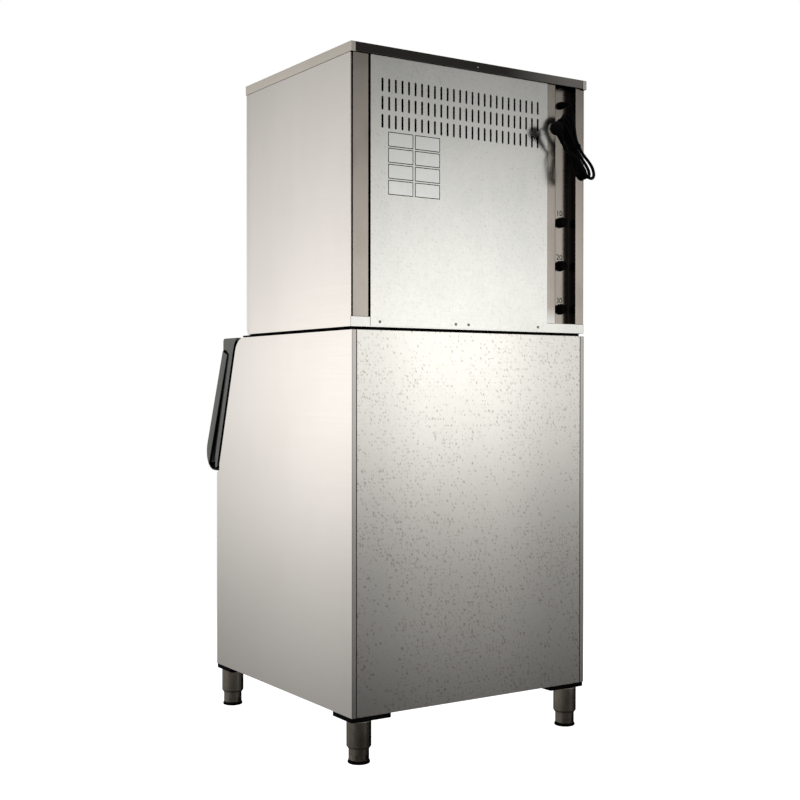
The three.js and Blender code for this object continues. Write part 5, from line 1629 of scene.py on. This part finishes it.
@dataclass
class ServiceRecess(Assembly):
    """The narrow channel with three capped fittings and the cord's gland."""

    fitting_x: float = -316.8
    fitting_rear: float = -26.7
    fittings: Tuple[Tuple[str, float], ...] = (
        ("condensate_drain_fitting", 1162.0), ("water_drain_fitting", 1282.5),
        ("water_inlet_fitting", 1403.0))
    nut_across: float = 30.0
    nut_length: float = 9.0
    nut_corner: Tuple[float, float] = (1.2, 0.9)
    gland_nut: float = 0.68
    gland_rings: int = 5
    cap: float = 12.5
    reach: float = 19.0
    gland_z: float = 1728.0
    gland_rear: float = -27.0
    channel_edge: float = 0.5
    cap_edge: float = 0.35
    gland_edge: float = 0.3
    digit_shift: float = 3.0
    digit_rear: float = -26.9
    digit_depth: float = 0.1
    digits: Tuple[Tuple[str, float], ...] = (("30", 1185.8), ("20", 1306.2), ("10", 1428.4))
    digit_size: float = 21.85

    def build(self) -> None:
        """Builds the channel, the fittings, the gland and the stamped digits."""
        self.soften(CHANNEL_STEEL, self.channel_edge, "service_channel")
        for node, z in self.fittings:
            self._fitting(node, z)
        self._gland()
        self._digits()

    def _hexagon(self, low: float, high: float) -> Shape:
        """A hexagon nut along z, with its corners turned down.

        Args:
            low: Where it starts, in millimetres.
            high: Where it ends.

        Returns:
            The nut's shape.
        """
        radius, (inward, down) = self.nut_across / 2, self.nut_corner
        profile = ((radius - inward, low), (radius, low + down), (radius, high - down),
                   (radius - inward, high))
        return loft([circle(wide, height, 6) for wide, height in profile], MILLIMETRE)

    def _fitting(self, node: str, z: float) -> None:
        """A hexagon nut with a round transit cap on it.

        Args:
            node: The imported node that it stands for.
            z: The height of its axis.
        """
        cap, nut, reach = self.cap, self.nut_length, self.reach
        stub = spin([(0, -12), (cap - 2, -12), (cap - 2, nut), (cap - 1, nut + 0.1), (cap, nut + 0.8),
                     (cap, reach - 2.2), (cap - 0.8, reach - 0.7), (cap - 2.4, reach), (cap - 6, reach),
                     (cap - 7, reach - 0.8), (0, reach - 0.8)], 56)
        parts = [placed(self._hexagon(0, nut), Matrix.Rotation(math.radians(30), 4, "Z")), stub]
        self.piece(f"{node}_cap", gather(parts), BLACK_PLASTIC, node,
                   at=facing_rear(self.fitting_x, self.fitting_rear, z), edge=self.cap_edge)

    def _gland(self) -> None:
        """The cord's gland: a lock nut, a domed nut and a bend relief with rings."""
        profile = [(0, -10), (8.5, -10), (8.5, 0.3), (10.5, 0.3), (10.5, 7.0), (9.8, 8.2), (9.0, 9.0),
                   (9.0, 12.0)]
        for k in range(self.gland_rings):
            at = 12.6 + 2.3 * k
            wide = 8.4 - 0.62 * k
            profile += [(wide, at), (wide - 0.1, at + 1.2), (wide - 1.2, at + 1.3),
                        (wide - 1.2, at + 2.1)]
        profile += [(5.45, 24.4), (5.2, 25.0), (0, 25.0)]
        small = Matrix.Diagonal((self.gland_nut, self.gland_nut, 1, 1))
        parts = [spin(profile, 48), placed(self._hexagon(0.3, 6.0), small)]
        self.piece("cord_gland_relief", gather(parts), BLACK_PLASTIC, "cable_gland",
                   at=facing_rear(self.fitting_x, self.gland_rear, self.gland_z), edge=self.gland_edge)

    def _digits(self) -> None:
        """Plain digits stamped above the fittings."""
        for digit, z in self.digits:
            data = bpy.data.curves.new(f"digit_{digit}", "FONT")
            data.body = digit
            data.size = self.digit_size * MILLIMETRE
            data.extrude = self.digit_depth * MILLIMETRE
            data.align_x = "CENTER"
            data.align_y = "CENTER"
            made = link_object("digit", data)
            mesh = evaluated_mesh(made)
            bpy.data.objects.remove(made)
            turn = Matrix.Rotation(math.pi, 4, "Z") @ Matrix.Rotation(math.pi / 2, 4, "X")
            at = place(self.fitting_x + self.digit_shift, self.digit_rear, z)
            mesh.transform(Matrix.Translation(at) @ turn)
            item = link_object(f"stamped_{digit}", mesh)
            self.settle(wear(item, PRINT_INK), "machine")


@dataclass
class HeadCasing(Assembly):
    """The head's sheet-metal case, its screws and the blank fields on its rear panel."""

    sheet_edge: float = 0.45
    trim_edge: float = 0.5
    panel_edge: float = 0.35
    screw_size: Tuple[float, float] = (7.2, 2.2)
    cover_screw: Point = (-6.0, 7.0, 1785.6)
    cover_screw_size: Tuple[float, float] = (5.0, 0.9)
    cover_screw_seed: int = 5
    screw_facing: Point = (-90, 0, 0)
    screw_z: float = 1108.5
    screw_places: Tuple[float, ...] = (294.3, 59.9, 18.9, -215.3)
    panel_face: float = 1.5
    field_columns: Tuple[Tuple[float, float], ...] = ((194.3, 270.0), (111.1, 188.8))
    field_top: float = 1587.5
    field_height: float = 37.0
    field_pitch: float = 40.4
    field_rows: int = 4
    line: float = 2.0

    def build(self) -> None:
        """Dresses the case, then adds screws and fields."""
        self.soften(STAINLESS, self.sheet_edge, "head_side_right", "head_side_left", "head_front_panel")
        self.soften(COVER_STEEL, self.trim_edge, "top_cover")
        self.soften(POST_STEEL, self.trim_edge, "rear_post_right", "rear_post_left")
        self.soften(GALVANISED, self.panel_edge, "rear_panel", "head_base")
        self.soften(RUBBER, self.trim_edge, "seam_gasket")
        self._screws()
        self._fields()

    def _screws(self) -> None:
        """The rear panel's four screws and the cover's one."""
        low = [place(x, self.panel_face, self.screw_z) for x in self.screw_places]
        screws = REPEAT.scatter("rear_panel_screws", low, SCREW.master(), *self.screw_size,
                                self.screw_facing, SCREW_ZINC)
        self.settle(screws, "machine")
        screw = REPEAT.scatter("cover_screw", [place(*self.cover_screw)], SCREW.master(),
                               *self.cover_screw_size, self.screw_facing, SCREW_ZINC,
                               self.cover_screw_seed)
        self.settle(screw, "machine")

    def _fields(self) -> None:
        """Eight blank framed fields printed on film, in two columns."""
        lines: List[Shape] = []
        films: List[Shape] = []
        face, line = self.panel_face, self.line
        for x0, x1 in self.field_columns:
            for row in range(self.field_rows):
                top = self.field_top - row * self.field_pitch
                low = top - self.field_height
                films.append(block(x0, x1, face - 0.05, face + 0.10, low, top))
                for a0, a1, b0, b1 in ((x0, x1, top - line, top), (x0, x1, low, low + line),
                                       (x0, x0 + line, low, top), (x1 - line, x1, low, top)):
                    lines.append(block(a0, a1, face + 0.02, face + 0.16, b0, b1))
        self.piece("blank_field_films", gather(films), LABEL_FILM)
        self.piece("blank_field_frames", gather(lines), PRINT_INK)


@dataclass
class PowerSwitch(Assembly):
    """The rocker switch on the front."""

    bezel_edge: float = 0.5
    rocker_edge: float = 0.6

    def build(self) -> None:
        """Dresses the bezel and the rocker."""
        self.soften(BLACK_PLASTIC, self.bezel_edge, "switch_bezel")
        self.soften(GLOSS_BLACK, self.rocker_edge, "power_rocker")


@dataclass
class StorageBin(Assembly):
    """The bin's sheet-metal case and its insulated tub."""

    sheet_edge: float = 0.6
    thin_edge: float = 0.5
    tub_edge: float = 2.0
    strip_edge: float = 0.4
    strip_sides: Tuple[float, float] = (352.0, 372.0)
    strip_section: Tuple[Tuple[float, float], ...] = (
        (-614.0, 1088.2), (-604.5, 1088.2), (-604.3, 1087.2), (-564.2, 1087.2), (-564.2, 1094.5),
        (-571.0, 1094.5), (-575.0, 1092.8), (-612.8, 1092.8), (-614.0, 1091.6))

    def build(self) -> None:
        """Dresses the case and the tub."""
        self.soften(BIN_STAINLESS, self.sheet_edge, "bin_side_right", "bin_side_left")
        self.soften(STAINLESS, self.sheet_edge, "bin_front_panel", "bin_top_panel")
        self.soften(BIN_ZINC, self.thin_edge, "bin_rear_panel", "bin_floor")
        self.soften(WHITE_PLASTIC, self.tub_edge, "bin_liner", segments=3)
        self.soften(BLACK_PLASTIC, self.thin_edge, "bin_drain")
        near, far = self.strip_sides
        strips = [prism(low, high, self.strip_section) for low, high in ((near, far), (-far, -near))]
        self.piece("seam_gasket_ends", gather(strips), RUBBER, edge=self.strip_edge)


@dataclass
class DoorAssembly(Assembly):
    """The sloping door, the moulding that frames it, and its pins."""

    shell_edge: float = 1.2
    frame_edge: float = 1.0
    inner_edge: float = 0.8
    pin_edge: float = 0.3
    seal_edge: float = 0.2
    pivot: Tuple[float, float] = (-731.16, 1029.5)
    seal_radius: float = 24.1
    seal_turn: Tuple[float, float] = (114.0, 23.0)
    seal_ends: Tuple[Tuple[float, float], ...] = ((-741.0, 1050.8), (-709.3, 1038.3))
    hood_radius: float = 24.7
    hood_turn: Tuple[float, float] = (106.0, 45.0)
    arc_steps: int = 12
    hood_back: Tuple[Tuple[float, float], ...] = (
        (-713.6, 1052.0), (-716.2, 1053.9), (-733.9, 1055.3), (-736.0, 1057.2), (-738.0, 1056.6))
    seal_runs: Tuple[Tuple[float, float], ...] = ((-375.6, -345.5), (-319.5, 319.5), (345.5, 375.6))
    groove_sides: Tuple[float, float] = (352.0, 374.0)
    groove_back: float = -700.0
    groove_facing: Point = (0.9, 0.2, -0.3)

    def build(self) -> None:
        """Dresses the door and its frame."""
        self.soften(DOOR_GREY, self.shell_edge, "door_shell", segments=3)
        for frame_piece in self.soften(FRAME_GREY, self.frame_edge, "door_frame", segments=3):
            self._blacken_groove(frame_piece)
        self.soften(BLACK_PLASTIC, self.inner_edge, "door_liner")
        self.soften(RUBBER, self.inner_edge, "door_gasket")
        self.soften(BRIGHT_PIN, self.pin_edge, "hinge_pin_right", "hinge_pin_left")
        self._top_seal()

    def _top_seal(self) -> None:
        """Rubber lips on the door's top edge and under the hood, round about the pins."""
        first, last = self.seal_ends
        lip = [first, *self._arc(self.seal_radius, *self.seal_turn), last]
        hood = [*self._arc(self.hood_radius, *self.hood_turn), *self.hood_back]
        for name, body, section in (("door_top_seal", "door", lip), ("hood_seal", "machine", hood)):
            parts = [prism(low, high, section) for low, high in self.seal_runs]
            self.piece(name, gather(parts), RUBBER, body=body, edge=self.seal_edge)

    def _arc(self, radius: float, first: float, last: float) -> List[Tuple[float, float]]:
        """Points of (y, z) on a circle round the pins, between two angles in degrees.

        Args:
            radius: The circle's radius.
            first: The first angle.
            last: The last angle.

        Returns:
            The points, in machine coordinates.
        """
        steps = self.arc_steps
        turns = [math.radians(first + (last - first) * k / steps) for k in range(steps + 1)]
        y, z = self.pivot
        return [(y + radius * math.cos(turn), z + radius * math.sin(turn)) for turn in turns]

    def _blacken_groove(self, item: bpy.types.Object) -> None:
        """Gives the groove along the bin's edges a black rubber lining.

        Args:
            item: The finished frame.
        """
        item.data.materials.append(RUBBER.material())
        inner, outer = self.groove_sides
        sideways, backward, down = self.groove_facing
        for face in item.data.polygons:
            x, y, _ = face.center / MILLIMETRE
            under = face.normal.z < down and y - FRAME_SHIFT > self.groove_back
            walled = abs(face.normal.x) > sideways and abs(x) < outer
            if abs(x) > inner and (face.normal.y > backward or under or walled):
                face.material_index = 1


@dataclass
class LevellingLegs(Assembly):
    """Four legs: a moulded corner pad, a fixed sleeve and a foot that screws out of it."""

    pad_edge: float = 1.2
    sleeve_edge: float = 0.3
    foot_edge: float = 0.25
    pad_sharp: float = 50.0
    steps: int = 72
    milled_steps: int = 96
    side: float = 337.2
    rear: float = -28.7
    front: float = -753.0
    sleeve_low: float = 38.5
    sleeve: float = 70.7
    radius: float = 31.5
    bore: float = 26.4
    foot_radius: float = 26.0
    across: float = 49.0
    flat_top: float = 22.0
    flare: float = 28.5
    foot_top: float = 95.0

    def build(self) -> None:
        """Builds the sleeves and feet, and dresses the pads."""
        for end, y in (("rear", self.rear), ("front", self.front)):
            for hand, x in (("right", self.side), ("left", -self.side)):
                word = f"{end}_{hand}"
                self.soften(BLACK_PLASTIC, self.pad_edge, f"corner_pad_{word}", segments=3)
                self._sleeve(word, x, y)
                self._foot(word, x, y)

    def _sleeve(self, word: str, x: float, y: float) -> None:
        """A turned sleeve with a chamfered lower edge.

        Args:
            word: The leg's corner, as its node names it.
            x: The leg's axis, to the right.
            y: The leg's axis, to the rear.
        """
        bore, r, high = self.bore, self.radius, self.sleeve
        profile = [(bore, 0), (r - 3.4, 0), (r - 0.2, 4.7), (r, 5.4), (r, high - 2.4),
                   (r - 0.7, high - 0.7), (r - 2.4, high), (0, high), (0, high - 4), (bore, high - 4),
                   (bore, 0)]
        shape = spin(profile, self.steps)
        bmesh.ops.remove_doubles(shape, verts=shape.verts, dist=1e-7)
        bmesh.ops.recalc_face_normals(shape, faces=shape.faces)
        self.piece(f"sleeve_{word}", shape, DARK_STEEL, f"leg_sleeve_{word}",
                   at=Matrix.Translation(place(x, y, self.sleeve_low)), edge=self.sleeve_edge)

    def _milled(self, radius: float, height: float, flats: bool) -> List[Vector]:
        """A ring of the foot, with its six flats cut away where flats is set.

        Args:
            radius: The turned radius.
            height: How high the ring lies.
            flats: Whether it has flats.

        Returns:
            The ring's points.
        """
        ring = []
        for k in range(self.milled_steps):
            turn = math.tau * k / self.milled_steps
            off = (turn + math.pi / 6) % (math.pi / 3) - math.pi / 6
            reach = min(radius, self.across / 2 / math.cos(off)) if flats else radius
            ring.append(Vector((reach * math.cos(turn), reach * math.sin(turn), height)))
        return ring

    def _foot(self, word: str, x: float, y: float) -> None:
        """A turned foot with six milled flats, flared to the thin black pad under it.

        Args:
            word: The leg's corner, as its node names it.
            x: The leg's axis, to the right.
            y: The leg's axis, to the rear.
        """
        r, flat, top = self.foot_radius, self.flat_top, self.foot_top
        rings = [self._milled(*ring) for ring in (
            (r - 2.0, 8.2, False), (r - 0.5, 8.6, False), (r, 9.2, False), (r, 9.8, True),
            (r, flat, True), (r, flat + 0.2, False), (r, top - 1, False), (r - 1, top, False))]
        body, at = f"foot_{word}_body", Matrix.Translation(place(x, y, 0))
        self.piece(f"levelling_foot_{word}", loft(rings, MILLIMETRE), DARK_STEEL, f"foot_{word}", at=at,
                   body=body, edge=self.foot_edge)
        out = self.flare
        pad = spin([(0, 0), (out - 2, 0), (out - 0.6, 0.7), (out, 2.0), (out, 4.4), (out - 0.4, 5.2),
                    (out - 1.6, 8.2), (out - 2.4, 8.8), (out - 4.0, 9.0), (0, 9.0)], self.steps)
        base = self.piece(f"foot_pad_{word}", pad, BLACK_PLASTIC, at=at, body=body)
        shade_smooth(base, self.pad_sharp)


@dataclass
class IceWorks(Assembly):
    """What makes the ice: the cell plate, the water's way over it, and the wall behind."""

    moulding_edge: float = 0.6
    wall_edge: float = 1.0

    def build(self) -> None:
        """Dresses the inner pieces."""
        self.dress(NICKEL, "evaporator")
        self.dress(WHITE_PLASTIC, "distribution_tube", "pump_hose")
        self.soften(WHITE_PLASTIC, self.moulding_edge, "water_curtain", "water_trough")
        self.soften(FOAM, self.wall_edge, "partition_wall")
        self.soften(BLACK_PAINT, self.moulding_edge, "water_pump")


@dataclass
class MachineRoom(Assembly):
    """Compressor, condenser, fan and control box behind the vents."""

    shell_edge: float = 0.8
    sheet_edge: float = 0.4
    fan_edge: float = 0.5
    box_edge: float = 0.6

    def build(self) -> None:
        """Dresses the machine room."""
        self.soften(BLACK_PAINT, self.shell_edge, "compressor")
        self.soften(GALVANISED, self.sheet_edge, "condenser_shelf", "fan_shroud")
        self.dress(COIL_BLACK, "condenser")
        self.soften(BLACK_PAINT, self.fan_edge, "fan_motor")
        self.soften(BLACK_PLASTIC, self.fan_edge, "fan_rotor")
        self.soften(GREY_PLASTIC, self.box_edge, "control_box")


def main() -> None:
    """Builds the studio and every sub-assembly."""
    logging.basicConfig(level=logging.WARNING, format="%(name)s: %(message)s")
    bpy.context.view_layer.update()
    assemblies = (Studio(), SupplyCord(), ServiceRecess(), HeadCasing(), PowerSwitch(), StorageBin(),
                  DoorAssembly(), LevellingLegs(), IceWorks(), MachineRoom())
    for assembly in assemblies:
        assembly.build()
        log.info("%s is built", type(assembly).__name__)


if __name__ == "__main__":
    main()
